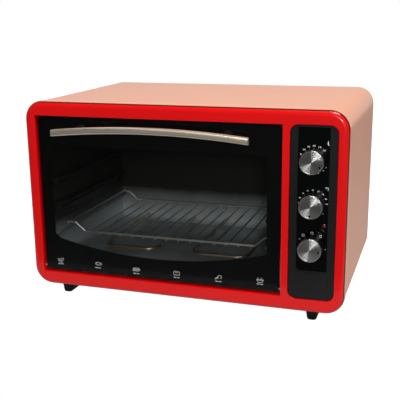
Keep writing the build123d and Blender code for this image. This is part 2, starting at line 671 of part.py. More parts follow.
for side, sign in (("left", -1), ("right", 1)):
    flange, bracket = hinge_side(sign)
    outwards = Plane(origin=(flange, HINGE_Y, HINGE_Z), x_dir=(0, 1, 0), z_dir=(sign, 0, 0))
    with BuildPart() as hinge_pin:
        with BuildSketch(outwards.offset(-SHEET - PIN_HEAD_T)):
            Circle(PIN_HEAD_R)
        extrude(amount=PIN_HEAD_T)
        with BuildSketch(outwards.offset(-SHEET)):
            Circle(PIN_R)
        extrude(amount=SHEET + PIN_OUT)
    keep(hinge_pin, f"hinge_pin_{side}")

    tab_plane = Plane(origin=(bracket, FRONT_Y + LIP_D, HINGE_Z), x_dir=(1, 0, 0), z_dir=(0, -1, 0))
    ear = LIP_D - HINGE_DEPTH
    with BuildPart() as hinge_bracket:
        with BuildSketch(tab_plane):
            with Locations((sign * BRACKET_T / 2, BRACKET_H / 2 - ear)):
                Rectangle(BRACKET_T, BRACKET_H)
        extrude(amount=LIP_D - HINGE_DEPTH + ear / 2)
        with BuildSketch(tab_plane):
            with Locations((sign * (BRACKET_T + BRACKET_TAB) / 2, BRACKET_H / 2 - ear)):
                Rectangle(BRACKET_T + BRACKET_TAB, BRACKET_H)
        extrude(amount=BRACKET_T)
        with BuildSketch(outwards.offset(abs(bracket - flange))):
            Circle(PIN_R + SHAFT_FIT)
        extrude(amount=BRACKET_T, mode=Mode.SUBTRACT)
    keep(hinge_bracket, f"hinge_bracket_{side}")

# Hinge springs: torsion coils round the pins, outside the brackets, each with a leg that points up
for side, sign in (("left", -1), ("right", 1)):
    bracket = hinge_side(sign)[1]
    with BuildPart() as coil:
        with BuildLine() as wire:
            turns = Helix(pitch=SPRING_PITCH, height=SPRING_PITCH * SPRING_TURNS,
                          radius=PIN_R + GAP + SPRING_WIRE / 2, lefthand=sign < 0)
            Line(turns @ 1, turns @ 1 + (turns % 1) * SPRING_LEG)
        with BuildSketch(Plane(origin=turns @ 0, z_dir=turns % 0)):
            Circle(SPRING_WIRE / 2)
        sweep(path=wire.line, is_frenet=True)
    coil_start = bracket + sign * (BRACKET_T + GAP + SPRING_WIRE / 2)
    with BuildPart() as hinge_spring:
        with Locations(Plane(origin=(coil_start, HINGE_Y, HINGE_Z), x_dir=(0, 1, 0), z_dir=(sign, 0, 0))):
            add(coil.part)
    keep(hinge_spring, f"hinge_spring_{side}")

# Control panel: black moulding with a sunk glossy strip, three raised dials and a bare raised plate
STRIP_DEPTH = PANEL_RECESS + STRIP_DEEP
PANEL_HOLLOW = LIP_D - STRIP_DEPTH - PANEL_WALL
PANEL_W = PANEL_OPEN_W - 2 * PANEL_CLEAR
PANEL_H = PANEL_OPEN_H - 2 * PANEL_CLEAR
LAMP_PLACE = (PANEL_X + LAMP_X, (KNOB_Z[1] + KNOB_Z[2]) / 2)
BOSS_X = PANEL_OPEN_W / 2 - BOSS_FROM_SIDE
BOSS_Z = PANEL_OPEN_H / 2 - BOSS_FROM_END
with BuildPart() as control_panel:
    with BuildSketch(at_depth(LIP_D)):
        with Locations((PANEL_X, PANEL_MID_Z)):
            RectangleRounded(PANEL_W, PANEL_H, PANEL_OPEN_R - PANEL_CLEAR)
    extrude(amount=LIP_D - PANEL_RECESS)
    fillet(control_panel.faces().sort_by(Axis.Y)[0].edges(), PANEL_EDGE_R)
    with BuildSketch(at_depth(STRIP_DEPTH)):
        with Locations((PANEL_X, STRIP_MID_Z)):
            RectangleRounded(STRIP_W, STRIP_H, STRIP_R)
    extrude(amount=STRIP_DEEP, mode=Mode.SUBTRACT)
    with BuildSketch(at_depth(STRIP_DEPTH)):
        with Locations(*[(PANEL_X, z) for z in KNOB_Z]):
            Circle((KNOB_PITCH - DIAL_GAP) / 2)
        with Locations((PANEL_X, PANEL_MID_Z)):
            Rectangle(STRIP_W, PANEL_H, mode=Mode.INTERSECT)
    extrude(amount=DIAL_RAISE)
    with BuildSketch(at_depth(PANEL_RECESS)):
        with Locations((PANEL_X, level(PANEL_OPEN_BOTTOM + PLATE_FROM_LOW))):
            RectangleRounded(PANEL_OPEN_W - 2 * PLATE_SIDE, PLATE_H, STRIP_R)
    extrude(amount=PLATE_RAISE)
    with BuildSketch(at_depth(LIP_D)):
        with Locations((PANEL_X, PANEL_MID_Z)):
            RectangleRounded(PANEL_W - 2 * PANEL_WALL, PANEL_H - 2 * PANEL_WALL,
                             PANEL_OPEN_R - PANEL_CLEAR - PANEL_WALL)
            with GridLocations(2 * BOSS_X, 2 * BOSS_Z, 2, 2):
                Circle(BOSS_R, mode=Mode.SUBTRACT)
    extrude(amount=PANEL_HOLLOW, mode=Mode.SUBTRACT)
    with BuildSketch(at_depth(LIP_D)):
        with Locations((PANEL_X, PANEL_MID_Z)):
            with GridLocations(2 * BOSS_X, 2 * BOSS_Z, 2, 2):
                Circle(PAN_SHANK_R + SHAFT_FIT)
    extrude(amount=PANEL_HOLLOW, mode=Mode.SUBTRACT)
    with BuildSketch(at_depth(LIP_D)):
        with Locations(*[(PANEL_X, z) for z in KNOB_Z]):
            Circle(BUSHING_R + GAP)
        with Locations(LAMP_PLACE):
            Circle(LAMP_R + SHAFT_FIT)
    extrude(amount=LIP_D, mode=Mode.SUBTRACT)
keep(control_panel, "control_panel")

# Indicator: a domed red lens behind the panel's hole, and the neon lamp's body behind it
PANEL_BACK = STRIP_DEPTH + PANEL_WALL
LENS_BACK = PANEL_BACK + LAMP_FLANGE_T
with BuildPart() as indicator_lens:
    with BuildSketch(Plane.XY):
        with BuildLine():
            RadiusArc((0, STRIP_DEPTH - LAMP_DOME), (LAMP_R, STRIP_DEPTH),
                      -(LAMP_R ** 2 + LAMP_DOME ** 2) / (2 * LAMP_DOME))
            Polyline((LAMP_R, STRIP_DEPTH), (LAMP_R, PANEL_BACK), (LAMP_FLANGE_R, PANEL_BACK),
                     (LAMP_FLANGE_R, LENS_BACK), (0, LENS_BACK), (0, STRIP_DEPTH - LAMP_DOME))
        make_face()
    revolve(axis=Axis.Y)
with BuildPart() as placed_lens:
    with Locations((LAMP_PLACE[0], FRONT_Y, LAMP_PLACE[1])):
        add(indicator_lens.part)
keep(placed_lens, "indicator_lens")

with BuildPart() as indicator_lamp:
    with BuildSketch(at_depth(LENS_BACK + LAMP_BODY_L)):
        with Locations(LAMP_PLACE):
            Circle(LAMP_BODY_R)
    extrude(amount=LAMP_BODY_L)
keep(indicator_lamp, "indicator_lamp")

# Control plate: the sheet that carries the controls, screwed to the control panel's bosses
PLATE_BACK = LIP_D + CONTROL_PLATE_T
BOSS_PLACES = [(PANEL_X + i * BOSS_X, PANEL_MID_Z + j * BOSS_Z) for i in (-1, 1) for j in (-1, 1)]
with BuildPart() as control_plate:
    with BuildSketch(at_depth(PLATE_BACK)):
        with Locations((PANEL_X, PANEL_MID_Z)):
            Rectangle(PANEL_OPEN_W + 2 * CONTROL_PLATE_LAP_X, PANEL_OPEN_H + 2 * CONTROL_PLATE_LAP_Z)
        with Locations(*[(PANEL_X, z) for z in KNOB_Z]):
            Circle(BUSHING_R + SHAFT_FIT, mode=Mode.SUBTRACT)
        with Locations(LAMP_PLACE):
            Circle(LAMP_BODY_R + SHAFT_FIT, mode=Mode.SUBTRACT)
        with Locations(*BOSS_PLACES):
            Circle(PAN_SHANK_R + SHAFT_FIT, mode=Mode.SUBTRACT)
    extrude(amount=CONTROL_PLATE_T)
keep(control_plate, "control_plate")


# Thermostat, timer and selector switch: housings behind the plate, with bushings for their shafts
def bushing(knob_z):
    with BuildPart() as barrel:
        with BuildSketch(at_depth(PLATE_BACK)):
            with Locations((PANEL_X, knob_z)):
                Circle(BUSHING_R)
        extrude(amount=BUSHING_L)
    return barrel.part


def shaft_bore(knob_z):
    with BuildPart() as bore:
        with BuildSketch(at_depth(PLATE_BACK + SHAFT_TAIL + GAP)):
            with Locations((PANEL_X, knob_z)):
                Circle(SHAFT_R + SHAFT_FIT)
        extrude(amount=SHAFT_TAIL + GAP + BUSHING_L)
    return bore.part


def blade_tabs(knob_z, back, rows):
    with BuildPart() as tabs:
        with BuildSketch(at_depth(back + TAB_L)):
            with Locations((PANEL_X, knob_z)):
                with GridLocations(TAB_SPREAD, TAB_SPREAD, 2, rows):
                    Rectangle(TAB_T, TAB_W)
        extrude(amount=TAB_L)
    return tabs.part


with BuildPart() as thermostat_body:
    with BuildSketch(at_depth(PLATE_BACK + THERMOSTAT_DEEP)):
        with Locations((PANEL_X, KNOB_Z[0])):
            RectangleRounded(HOUSING_W, HOUSING_W, HOUSING_R)
    extrude(amount=THERMOSTAT_DEEP)
    add(bushing(KNOB_Z[0]))
    add(shaft_bore(KNOB_Z[0]), mode=Mode.SUBTRACT)
    add(blade_tabs(KNOB_Z[0], PLATE_BACK + THERMOSTAT_DEEP, 1))
keep(thermostat_body, "thermostat_body")

with BuildPart() as timer_body:
    with BuildSketch(at_depth(PLATE_BACK + TIMER_DEEP)):
        with Locations((PANEL_X, KNOB_Z[1])):
            Circle(TIMER_R)
    extrude(amount=TIMER_DEEP)
    with BuildSketch(at_depth(PLATE_BACK + TIMER_DEEP + BELL_T)):
        with Locations((PANEL_X, KNOB_Z[1])):
            Circle(BELL_R)
    extrude(amount=BELL_T)
    fillet(timer_body.faces().sort_by(Axis.Y)[-1].edges(), HOUSING_R)
    add(bushing(KNOB_Z[1]))
    add(shaft_bore(KNOB_Z[1]), mode=Mode.SUBTRACT)
keep(timer_body, "timer_body")

with BuildPart() as selector_body:
    with BuildSketch(at_depth(PLATE_BACK + SELECTOR_DEEP)):
        with Locations((PANEL_X, KNOB_Z[2])):
            RectangleRounded(HOUSING_W, HOUSING_W, HOUSING_R)
    extrude(amount=SELECTOR_DEEP)
    add(bushing(KNOB_Z[2]))
    add(shaft_bore(KNOB_Z[2]), mode=Mode.SUBTRACT)
    add(blade_tabs(KNOB_Z[2], PLATE_BACK + SELECTOR_DEEP, 2))
keep(selector_body, "selector_body")

# Thermostat bulb: sensing tube along the chamber's right wall, with its capillary to the thermostat
BULB_END = FRONT_Y + BULB_FRONT + BULB_L
CAPILLARY_X = SHIELD_X + CAPILLARY_OUT
with BuildPart() as thermostat_bulb:
    with BuildSketch(at_depth(BULB_FRONT + BULB_L)):
        with Locations((BULB_X, level(BULB_Z))):
            Circle(BULB_R)
    extrude(amount=BULB_L)
    with BuildLine() as capillary:
        FilletPolyline((BULB_X, BULB_END, level(BULB_Z)), (BULB_X, CAPILLARY_TURN_Y, level(BULB_Z)),
                       (CAPILLARY_X, CAPILLARY_TURN_Y, level(BULB_Z)),
                       (CAPILLARY_X, FRONT_Y + CAPILLARY_DROP_Y, KNOB_Z[0]),
                       (PANEL_X, FRONT_Y + CAPILLARY_DROP_Y, KNOB_Z[0]),
                       (PANEL_X, FRONT_Y + PLATE_BACK + THERMOSTAT_DEEP, KNOB_Z[0]),
                       radius=CAPILLARY_BEND_R)
    with BuildSketch(Plane(origin=(BULB_X, BULB_END, level(BULB_Z)), z_dir=(0, 1, 0))):
        Circle(CAPILLARY_R)
    sweep(path=capillary.line)
keep(thermostat_bulb, "thermostat_bulb")

# Knobs: black tapered skirt with a hub, a spun metal cap and a shaft with a flat, pointer along +X
DIAL_DEPTH = STRIP_DEPTH - DIAL_RAISE
KNOB_BACK = DIAL_DEPTH - KNOB_CLEAR
KNOB_FRONT = KNOB_BACK - KNOB_L
CAP_FRONT = KNOB_FRONT - CAP_T
HUB_FLOOR = KNOB_FRONT + KNOB_WALL
BUSHING_FRONT = PLATE_BACK - BUSHING_L
FLAT_REACH = SHAFT_R - SHAFT_FLAT


def turned_plane(depth):
    return Plane.XZ.offset(-depth)


with BuildPart() as knob:
    with BuildSketch(Plane.XY):
        with BuildLine():
            Polyline((0, KNOB_FRONT), (KNOB_TOP_R, KNOB_FRONT), (KNOB_R, KNOB_BACK),
                     (KNOB_R - KNOB_WALL, KNOB_BACK), (KNOB_TOP_R - KNOB_WALL, HUB_FLOOR), (HUB_R, HUB_FLOOR),
                     (HUB_R, KNOB_BACK), (0, KNOB_BACK), close=True)
        make_face()
    revolve(axis=Axis.Y)
    with BuildSketch(turned_plane(KNOB_BACK)):
        Circle(SHAFT_R + SHAFT_FIT)
        with Locations((FLAT_REACH + SHAFT_FIT, 0)):
            Rectangle(SHAFT_R, 2 * HUB_R, align=(Align.MIN, Align.CENTER), mode=Mode.SUBTRACT)
    extrude(amount=KNOB_BACK - HUB_FLOOR, mode=Mode.SUBTRACT)

with BuildPart() as cap:
    with BuildSketch(Plane.XY):
        with BuildLine():
            Polyline((0, KNOB_FRONT), (CAP_R, KNOB_FRONT), (CAP_R, CAP_FRONT),
                     (CAP_R - CAP_RIM, CAP_FRONT), (CAP_R - CAP_RIM - CAP_DISH, CAP_FRONT + CAP_DISH),
                     (0, CAP_FRONT + CAP_DISH), close=True)
        make_face()
    revolve(axis=Axis.Y)
    fillet(cap.edges().group_by(Axis.Y)[0].sort_by(SortBy.RADIUS)[-1], CAP_EDGE_R)
    with BuildSketch(turned_plane(CAP_FRONT + CAP_DISH + POINTER_DEEP)):
        with Locations((POINTER_AT, 0)):
            Circle(POINTER_R)
    extrude(amount=2 * POINTER_DEEP, mode=Mode.SUBTRACT)

with BuildPart() as shaft:
    with BuildSketch(turned_plane(PLATE_BACK + SHAFT_TAIL)):
        Circle(SHAFT_R)
    extrude(amount=PLATE_BACK + SHAFT_TAIL - HUB_FLOOR - GAP)
    with BuildSketch(turned_plane(BUSHING_FRONT - GAP)):
        with Locations((FLAT_REACH, 0)):
            Rectangle(SHAFT_R, 2 * HUB_R, align=(Align.MIN, Align.CENTER))
    extrude(amount=BUSHING_FRONT - HUB_FLOOR, mode=Mode.SUBTRACT)

RESTS = {"thermostat": THERMOSTAT_REST, "timer": TIMER_REST, "selector": SELECTOR_REST}
for knob_z, (control, rest) in zip(KNOB_Z, RESTS.items()):
    turned_place = Location((PANEL_X, FRONT_Y, knob_z), (0, -rest, 0))
    for piece, ending in ((knob, "knob"), (cap, "knob_cap"), (shaft, "shaft")):
        with BuildPart() as placed_piece:
            with Locations(turned_place):
                add(piece.part)
        keep(placed_piece, f"{control}_{ending}")

# Feet: tapered moulded blocks, longer from front to back, with rounded soles
with BuildPart() as foot:
    with BuildSketch(Plane.XY.offset(BASE_Z)):
        RectangleRounded(FOOT_W, FOOT_L, FOOT_CORNER_R)
    extrude(amount=-BASE_Z, taper=math.degrees(math.atan(FOOT_TAPER / BASE_Z)))
    fillet(foot.faces().sort_by(Axis.Z)[0].edges(), FOOT_EDGE_R)

FOOT_X = BODY_W / 2 - FOOT_FROM_SIDE
for end, foot_depth in (("front", FOOT_FRONT), ("rear", BODY_D - FOOT_FROM_BACK - FOOT_L)):
    for side, sign in (("left", -1), ("right", 1)):
        with BuildPart() as placed_foot:
            with Locations((sign * FOOT_X, FRONT_Y + foot_depth + FOOT_L / 2, 0)):
                add(foot.part)
        keep(placed_foot, f"foot_{end}_{side}")

# Terminal block: moulded block on the base panel, one screw pit at each end of every way
BLOCK_PLACE = (BODY_W / 2 - BLOCK_FROM_SIDE, FRONT_Y + BODY_D - BLOCK_FROM_BACK)
with BuildPart() as terminal_block:
    with BuildSketch(Plane.XY.offset(BASE_Z + SHEET)):
        with Locations(BLOCK_PLACE):
            Rectangle(BLOCK_W, BLOCK_D)
    extrude(amount=BLOCK_H)
    with BuildSketch(Plane.XY.offset(BASE_Z + SHEET + BLOCK_H)):
        with Locations(BLOCK_PLACE):
            with GridLocations(BLOCK_W / BLOCK_WAYS, BLOCK_D / 2, BLOCK_WAYS, 2):
                Circle(BLOCK_SCREW_R)
            with GridLocations(BLOCK_W / BLOCK_WAYS, BLOCK_D, BLOCK_WAYS - 1, 1):
                Rectangle(BLOCK_SLOT, BLOCK_D)
    extrude(amount=-BLOCK_SCREW_DEEP, mode=Mode.SUBTRACT)
keep(terminal_block, "terminal_block")

# Cord inlet: a moulded bushing snapped into the rear panel
gland = turned([(GLAND_BORE_R, BODY_D + GLAND_OUT), (GLAND_BORE_R + GLAND_TIP_WALL, BODY_D + GLAND_OUT),
                (GLAND_R, BODY_D + GLAND_FLANGE_T), (GLAND_FLANGE_R, BODY_D + GLAND_FLANGE_T),
                (GLAND_FLANGE_R, BODY_D), (GLAND_R, BODY_D), (GLAND_R, BODY_D - SHEET),
                (GLAND_R + GLAND_SNAP, BODY_D - SHEET), (GLAND_R, BODY_D - SHEET - GLAND_SNAP_L),
                (GLAND_R - GLAND_SNAP, BODY_D - GLAND_IN), (GLAND_BORE_R, BODY_D - GLAND_IN)])
with BuildPart() as cord_inlet:
    with Locations((GLAND_X, FRONT_Y, level(GLAND_Z))):
        add(gland.part)
keep(cord_inlet, "cord_inlet")

# Pan-head screws, seat at depth 0 and shank towards the front
pan_screw = turned([(0, PAN_HEAD_H), (PAN_HEAD_R - PAN_HEAD_H / 2, PAN_HEAD_H), (PAN_HEAD_R, PAN_HEAD_H / 2),
                    (PAN_HEAD_R, 0), (PAN_SHANK_R, 0), (PAN_SHANK_R, -PAN_SHANK_L), (0, -PAN_SHANK_L)])

with BuildPart() as control_plate_screws:
    with Locations(*[(x, FRONT_Y + PLATE_BACK, z) for x, z in BOSS_PLACES]):
        add(pan_screw.part)
keep(control_plate_screws, "control_plate_screws")

with BuildPart() as rear_panel_screws:
    for i in (-1, 1):
        for j in (-1, 1):
            with Locations((i * SCREW_SPREAD_X / 4, FRONT_Y + BODY_D, BODY_MID_Z + j * SCREW_SPREAD_Z / 2),
                           (i * SCREW_SPREAD_X / 2, FRONT_Y + BODY_D, BODY_MID_Z + j * SCREW_SPREAD_Z / 4)):
                add(pan_screw.part)
keep(rear_panel_screws, "rear_panel_screws")

with BuildPart() as base_screws:
    for i in (-1, 1):
        for j in (-1, 0, 1):
            place = (i * BASE_SCREW_X / 2, BASE_MID_Y + j * BASE_SCREW_Y, BASE_Z)
            with Locations(Location(place, (-90, 0, 0))):
                add(pan_screw.part)
keep(base_screws, "base_screws")
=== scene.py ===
import bpy
import math
from mathutils import Matrix, Vector


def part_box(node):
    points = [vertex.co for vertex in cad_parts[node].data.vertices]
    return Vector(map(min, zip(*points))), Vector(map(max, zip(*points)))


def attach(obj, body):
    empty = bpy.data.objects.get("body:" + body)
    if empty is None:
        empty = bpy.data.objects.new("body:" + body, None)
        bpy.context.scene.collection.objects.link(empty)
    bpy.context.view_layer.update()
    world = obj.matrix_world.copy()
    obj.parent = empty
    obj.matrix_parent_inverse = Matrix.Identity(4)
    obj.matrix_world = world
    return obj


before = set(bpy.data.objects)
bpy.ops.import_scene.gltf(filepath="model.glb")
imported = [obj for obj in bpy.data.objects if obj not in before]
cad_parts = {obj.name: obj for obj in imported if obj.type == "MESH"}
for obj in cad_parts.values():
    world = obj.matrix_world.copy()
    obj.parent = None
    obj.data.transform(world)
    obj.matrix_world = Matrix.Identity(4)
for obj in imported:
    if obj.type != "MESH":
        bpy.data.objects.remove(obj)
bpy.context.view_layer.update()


# Wrapped casing: one steel sheet folded over both sides and the top, sprayed with a salmon polyester
# powder and baked. The coat is satin, with a faint orange peel and slightly uneven depth of colour.
MM = 0.001
COAT_CLOUD = 90 * MM
COAT_PEEL = 2.2 * MM
COAT_PEEL_DEPTH = 0.02 * MM


def srgb(code):
    channels = [int(code[i:i + 2], 16) / 255 for i in (0, 2, 4)]
    return tuple(c / 12.92 if c <= 0.04045 else ((c + 0.055) / 1.055) ** 2.4 for c in channels) + (1.0,)


def add_node(tree, kind, settings=None, links=None):
    # Numbers and names of sockets set or link an input, and any other name is an option of the node
    node = tree.nodes.new("ShaderNode" + kind)
    for key, value in (settings or {}).items():
        if isinstance(key, int) or key in node.inputs:
            node.inputs[key].default_value = value
        else:
            setattr(node, key, value)
    for key, source in (links or {}).items():
        tree.links.new(source, node.inputs[key])
    return node


def finish(name, settings):
    # A material with its shader's constants set, and the object's own coordinates in metres
    material = bpy.data.materials.new(name)
    material.use_nodes = True
    tree = material.node_tree
    shader = tree.nodes["Principled BSDF"]
    for key, value in settings.items():
        shader.inputs[key].default_value = value
    place = add_node(tree, "TexCoord").outputs["Object"]
    return material, tree, shader, place


def feed(tree, shader, sources):
    for socket, source in sources.items():
        tree.links.new(source, shader.inputs[socket])


def dress(material, *names):
    for name in names:
        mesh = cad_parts[name].data
        mesh.materials.clear()
        mesh.materials.append(material)


casing_coat, tree, shader, place = finish("salmon_powder_coat", {
    "Roughness": 0.34, "IOR": 1.5, "Specular IOR Level": 0.5})
cloud = add_node(tree, "TexNoise", {"Scale": 1 / COAT_CLOUD, "Detail": 2.0}, {"Vector": place})
coat_colour = add_node(tree, "Mix", {"data_type": "RGBA", 6: srgb("CD8055"), 7: srgb("D3865B")},
                       {0: cloud.outputs["Fac"]})
peel = add_node(tree, "TexNoise", {"Scale": 1 / COAT_PEEL, "Detail": 1.0}, {"Vector": place})
peel_face = add_node(tree, "Bump", {"Distance": COAT_PEEL_DEPTH}, {"Height": peel.outputs["Fac"]})
feed(tree, shader, {"Base Color": coat_colour.outputs[2], "Normal": peel_face.outputs["Normal"]})
dress(casing_coat, "outer_casing")

# Front frame: a drawn steel bezel in glossy red enamel, whose thick coat gives the rolled edge its
# long highlights. The casing's sheet laps over the back of that edge, drawn here as a band of its
# colour round the outline, and the seam in front of it is drawn as a dark band of painted shade.
FRAME_CORNER_R = 30 * MM
SEAM_SHADE_BAND = 2.4 * MM
LAP_BAND = 0.9 * MM
RED_CLOUD = 120 * MM
ENAMEL_PORES = 4 * MM
ENAMEL_PORE_DEPTH = 0.01 * MM
enamel, tree, shader, place = finish("red_gloss_enamel", {
    "Roughness": 0.3, "IOR": 1.5, "Specular IOR Level": 0.2, "Coat Weight": 0.3, "Coat Roughness": 0.05})
depth_of_red = add_node(tree, "TexNoise", {"Scale": 1 / RED_CLOUD, "Detail": 1.0}, {"Vector": place})
red = add_node(tree, "Mix", {"data_type": "RGBA", 6: srgb("D20305"), 7: srgb("DC0608")},
               {0: depth_of_red.outputs["Fac"]})
frame_low, frame_high = (Vector(corner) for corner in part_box("front_frame"))
middle = (frame_low + frame_high) / 2
straight = (frame_high - frame_low) / 2 - Vector((FRAME_CORNER_R, 0, FRAME_CORNER_R))
from_middle = add_node(tree, "VectorMath", {"operation": "SUBTRACT", 1: middle}, {0: place})
quarter = add_node(tree, "VectorMath", {"operation": "ABSOLUTE"}, {0: from_middle.outputs["Vector"]})
past = add_node(tree, "VectorMath", {"operation": "SUBTRACT", 1: straight}, {0: quarter.outputs["Vector"]})
beyond = add_node(tree, "VectorMath", {"operation": "MAXIMUM", 1: (0, 0, 0)}, {0: past.outputs["Vector"]})
flat = add_node(tree, "VectorMath", {"operation": "MULTIPLY", 1: (1, 0, 1)}, {0: beyond.outputs["Vector"]})
reach = add_node(tree, "VectorMath", {"operation": "LENGTH"}, {0: flat.outputs["Vector"]})
banded = red
# the outermost band is the casing's colour where it laps over the edge, and the dark band inside it is
# painted shade in the seam
for width, colour in ((SEAM_SHADE_BAND, "2A0806"), (LAP_BAND, "D08358")):
    band = add_node(tree, "Math", {"operation": "GREATER_THAN", 1: FRAME_CORNER_R - width},
                    {0: reach.outputs["Value"]})
    banded = add_node(tree, "Mix", {"data_type": "RGBA", 7: srgb(colour)},
                      {0: band.outputs["Value"], 6: banded.outputs[2]})
pores = add_node(tree, "TexNoise", {"Scale": 1 / ENAMEL_PORES, "Detail": 1.0}, {"Vector": place})
pored = add_node(tree, "Bump", {"Distance": ENAMEL_PORE_DEPTH}, {"Height": pores.outputs["Fac"]})
feed(tree, shader, {"Base Color": banded.outputs[2], "Normal": pored.outputs["Normal"]})
dress(enamel, "front_frame")

# Galvanised sheets: the back, the base, the heat shield and the brackets. Hot-dip zinc freezes in
# spangles about 7 mm across, each with its own tone and its own shine.
SPANGLE = 7 * MM
zinc, tree, shader, place = finish("galvanised_sheet", {"Metallic": 1.0})
spangle = add_node(tree, "TexVoronoi", {"Scale": 1 / SPANGLE}, {"Vector": place})
tone = add_node(tree, "SeparateColor", links={"Color": spangle.outputs["Color"]})
zinc_colour = add_node(tree, "Mix", {"data_type": "RGBA", 6: srgb("A6ABAE"), 7: srgb("C6CACC")},
                       {0: tone.outputs["Red"]})
dullness = add_node(tree, "MapRange", {"To Min": 0.32, "To Max": 0.5}, {"Value": tone.outputs["Green"]})
feed(tree, shader, {"Base Color": zinc_colour.outputs[2], "Roughness": dullness.outputs["Result"]})
dress(zinc, "base_panel", "rear_panel", "heat_shield", "control_plate", "heater_plates",
      "hinge_bracket_left", "hinge_bracket_right")

# Oven chamber: aluminised sheet, folded and spot-welded. The walls above the rack and the floor
# under the lower elements are darkened with painted shade, and the lower back wall is painted a
# bright blue-grey as painted light falling in through the window.
rack_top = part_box("wire_rack")[1][2]
floor_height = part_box("oven_chamber")[0][2]
# heights of the painted shadow line near the rack and of the painted shade on the floor, both wavered by a
# noise
SHADOW_LINE_BELOW_RACK = 45 * MM
SHADOW_LINE_ABOVE_RACK = 15 * MM
FLOOR_SHADE_START = 20 * MM
FLOOR_SHADE_END = 45 * MM
SHADE_CLOUD = 60 * MM
SHADE_CLOUD_HEIGHT = 15 * MM
ROLLING = 3 * MM
ROLLING_DEPTH = 0.03 * MM
chamber_sheet, tree, shader, place = finish("aluminised_sheet_painted_light_and_shade", {
    "Metallic": 0.5, "Roughness": 0.45})
axes = add_node(tree, "SeparateXYZ", links={"Vector": place})
cloud = add_node(tree, "TexNoise", {"Scale": 1 / SHADE_CLOUD, "Detail": 3.0}, {"Vector": place})
height = add_node(tree, "Math", {"operation": "MULTIPLY_ADD", 1: SHADE_CLOUD_HEIGHT},
                  {0: cloud.outputs["Fac"], 2: axes.outputs["Z"]})
# painted light on the lower walls, fading into painted shade above the rack
lit_to_shaded = add_node(tree, "MapRange",
               {"From Min": rack_top - SHADOW_LINE_BELOW_RACK, "From Max": rack_top + SHADOW_LINE_ABOVE_RACK},
               {"Value": height.outputs["Value"]})
wall_colour = add_node(tree, "Mix", {"data_type": "RGBA", 6: srgb("E4ECEE"), 7: srgb("24231E")},
                       {0: lit_to_shaded.outputs["Result"]})
# painted shade on the floor, fading out upwards
off_floor_shade = add_node(tree, "MapRange",
                 {"From Min": floor_height + FLOOR_SHADE_START, "From Max": floor_height + FLOOR_SHADE_END},
                 {"Value": height.outputs["Value"]})
chamber_colour = add_node(tree, "Mix", {"data_type": "RGBA", 6: srgb("323533")},
                          {0: off_floor_shade.outputs["Result"], 7: wall_colour.outputs[2]})
rolled = add_node(tree, "TexNoise", {"Scale": 1 / ROLLING, "Detail": 2.0}, {"Vector": place})
rolled_face = add_node(tree, "Bump", {"Distance": ROLLING_DEPTH}, {"Height": rolled.outputs["Fac"]})
feed(tree, shader, {"Base Color": chamber_colour.outputs[2], "Normal": rolled_face.outputs["Normal"]})
dress(chamber_sheet, "oven_chamber")

# Heating elements: stainless tube packed with magnesia and bent to a U. The sheath goes from straw
# to brown as it is heated, in bands along its length, and meets the back wall in beads of steatite,
# a ceramic fired without glaze to a matt white.
HEAT_BANDS = 20 * MM
STEATITE_GRIT = 0.8 * MM
STEATITE_GRIT_DEPTH = 0.04 * MM
sheath, tree, shader, place = finish("heat_tinted_sheath", {"Metallic": 1.0, "Roughness": 0.4})
heated = add_node(tree, "TexNoise", {"Scale": 1 / HEAT_BANDS, "Detail": 2.0}, {"Vector": place})
tint = add_node(tree, "Mix", {"data_type": "RGBA", 6: srgb("A8967E"), 7: srgb("D0BFA6")},
                {0: heated.outputs["Fac"]})
feed(tree, shader, {"Base Color": tint.outputs[2]})
dress(sheath, "lower_heater_left", "lower_heater_right", "upper_heater_left", "upper_heater_right")

steatite, tree, shader, place = finish("steatite_ceramic", {
    "Base Color": srgb("E9E5DA"), "Roughness": 0.55, "IOR": 1.6})
grit = add_node(tree, "TexNoise", {"Scale": 1 / STEATITE_GRIT, "Detail": 3.0}, {"Vector": place})
gritty = add_node(tree, "Bump", {"Distance": STEATITE_GRIT_DEPTH}, {"Height": grit.outputs["Fac"]})
feed(tree, shader, {"Normal": gritty.outputs["Normal"]})
dress(steatite, "heater_beads")

# Wire rack and the small turned pieces: bright drawn steel wire and pins, plated and polished, with
# fine drawing lines that only show as a slight unevenness of the shine.
DRAWING = 4 * MM
plated, tree, shader, place = finish("nickel_plated_wire", {"Base Color": srgb("EFEEE8"), "Metallic": 1.0})
drawing = add_node(tree, "TexNoise", {"Scale": 1 / DRAWING, "Detail": 2.0}, {"Vector": place})
shine = add_node(tree, "MapRange", {"To Min": 0.3, "To Max": 0.46}, {"Value": drawing.outputs["Fac"]})
feed(tree, shader, {"Roughness": shine.outputs["Result"]})
dress(plated, "wire_rack", "hinge_pin_left", "hinge_pin_right", "hinge_spring_left",
      "hinge_spring_right", "handle_screws", "thermostat_shaft", "timer_shaft", "selector_shaft",
      "control_plate_screws", "rear_panel_screws", "base_screws")

# Door frame: a steel sheet pressed to a ring, which is clamped behind the glass. Its black stove
# enamel is fired to a half-matt skin with a slightly rough grain.
STOVE_GRAIN = 1.5 * MM
STOVE_GRAIN_DEPTH = 0.03 * MM
black_enamel, tree, shader, place = finish("black_stove_enamel", {
    "Base Color": srgb("101111"), "Roughness": 0.4, "IOR": 1.5, "Specular IOR Level": 0.3})
grain = add_node(tree, "TexNoise", {"Scale": 1 / STOVE_GRAIN, "Detail": 2.0}, {"Vector": place})
grained = add_node(tree, "Bump", {"Distance": STOVE_GRAIN_DEPTH}, {"Height": grain.outputs["Fac"]})
feed(tree, shader, {"Normal": grained.outputs["Normal"]})
dress(black_enamel, "door_frame")

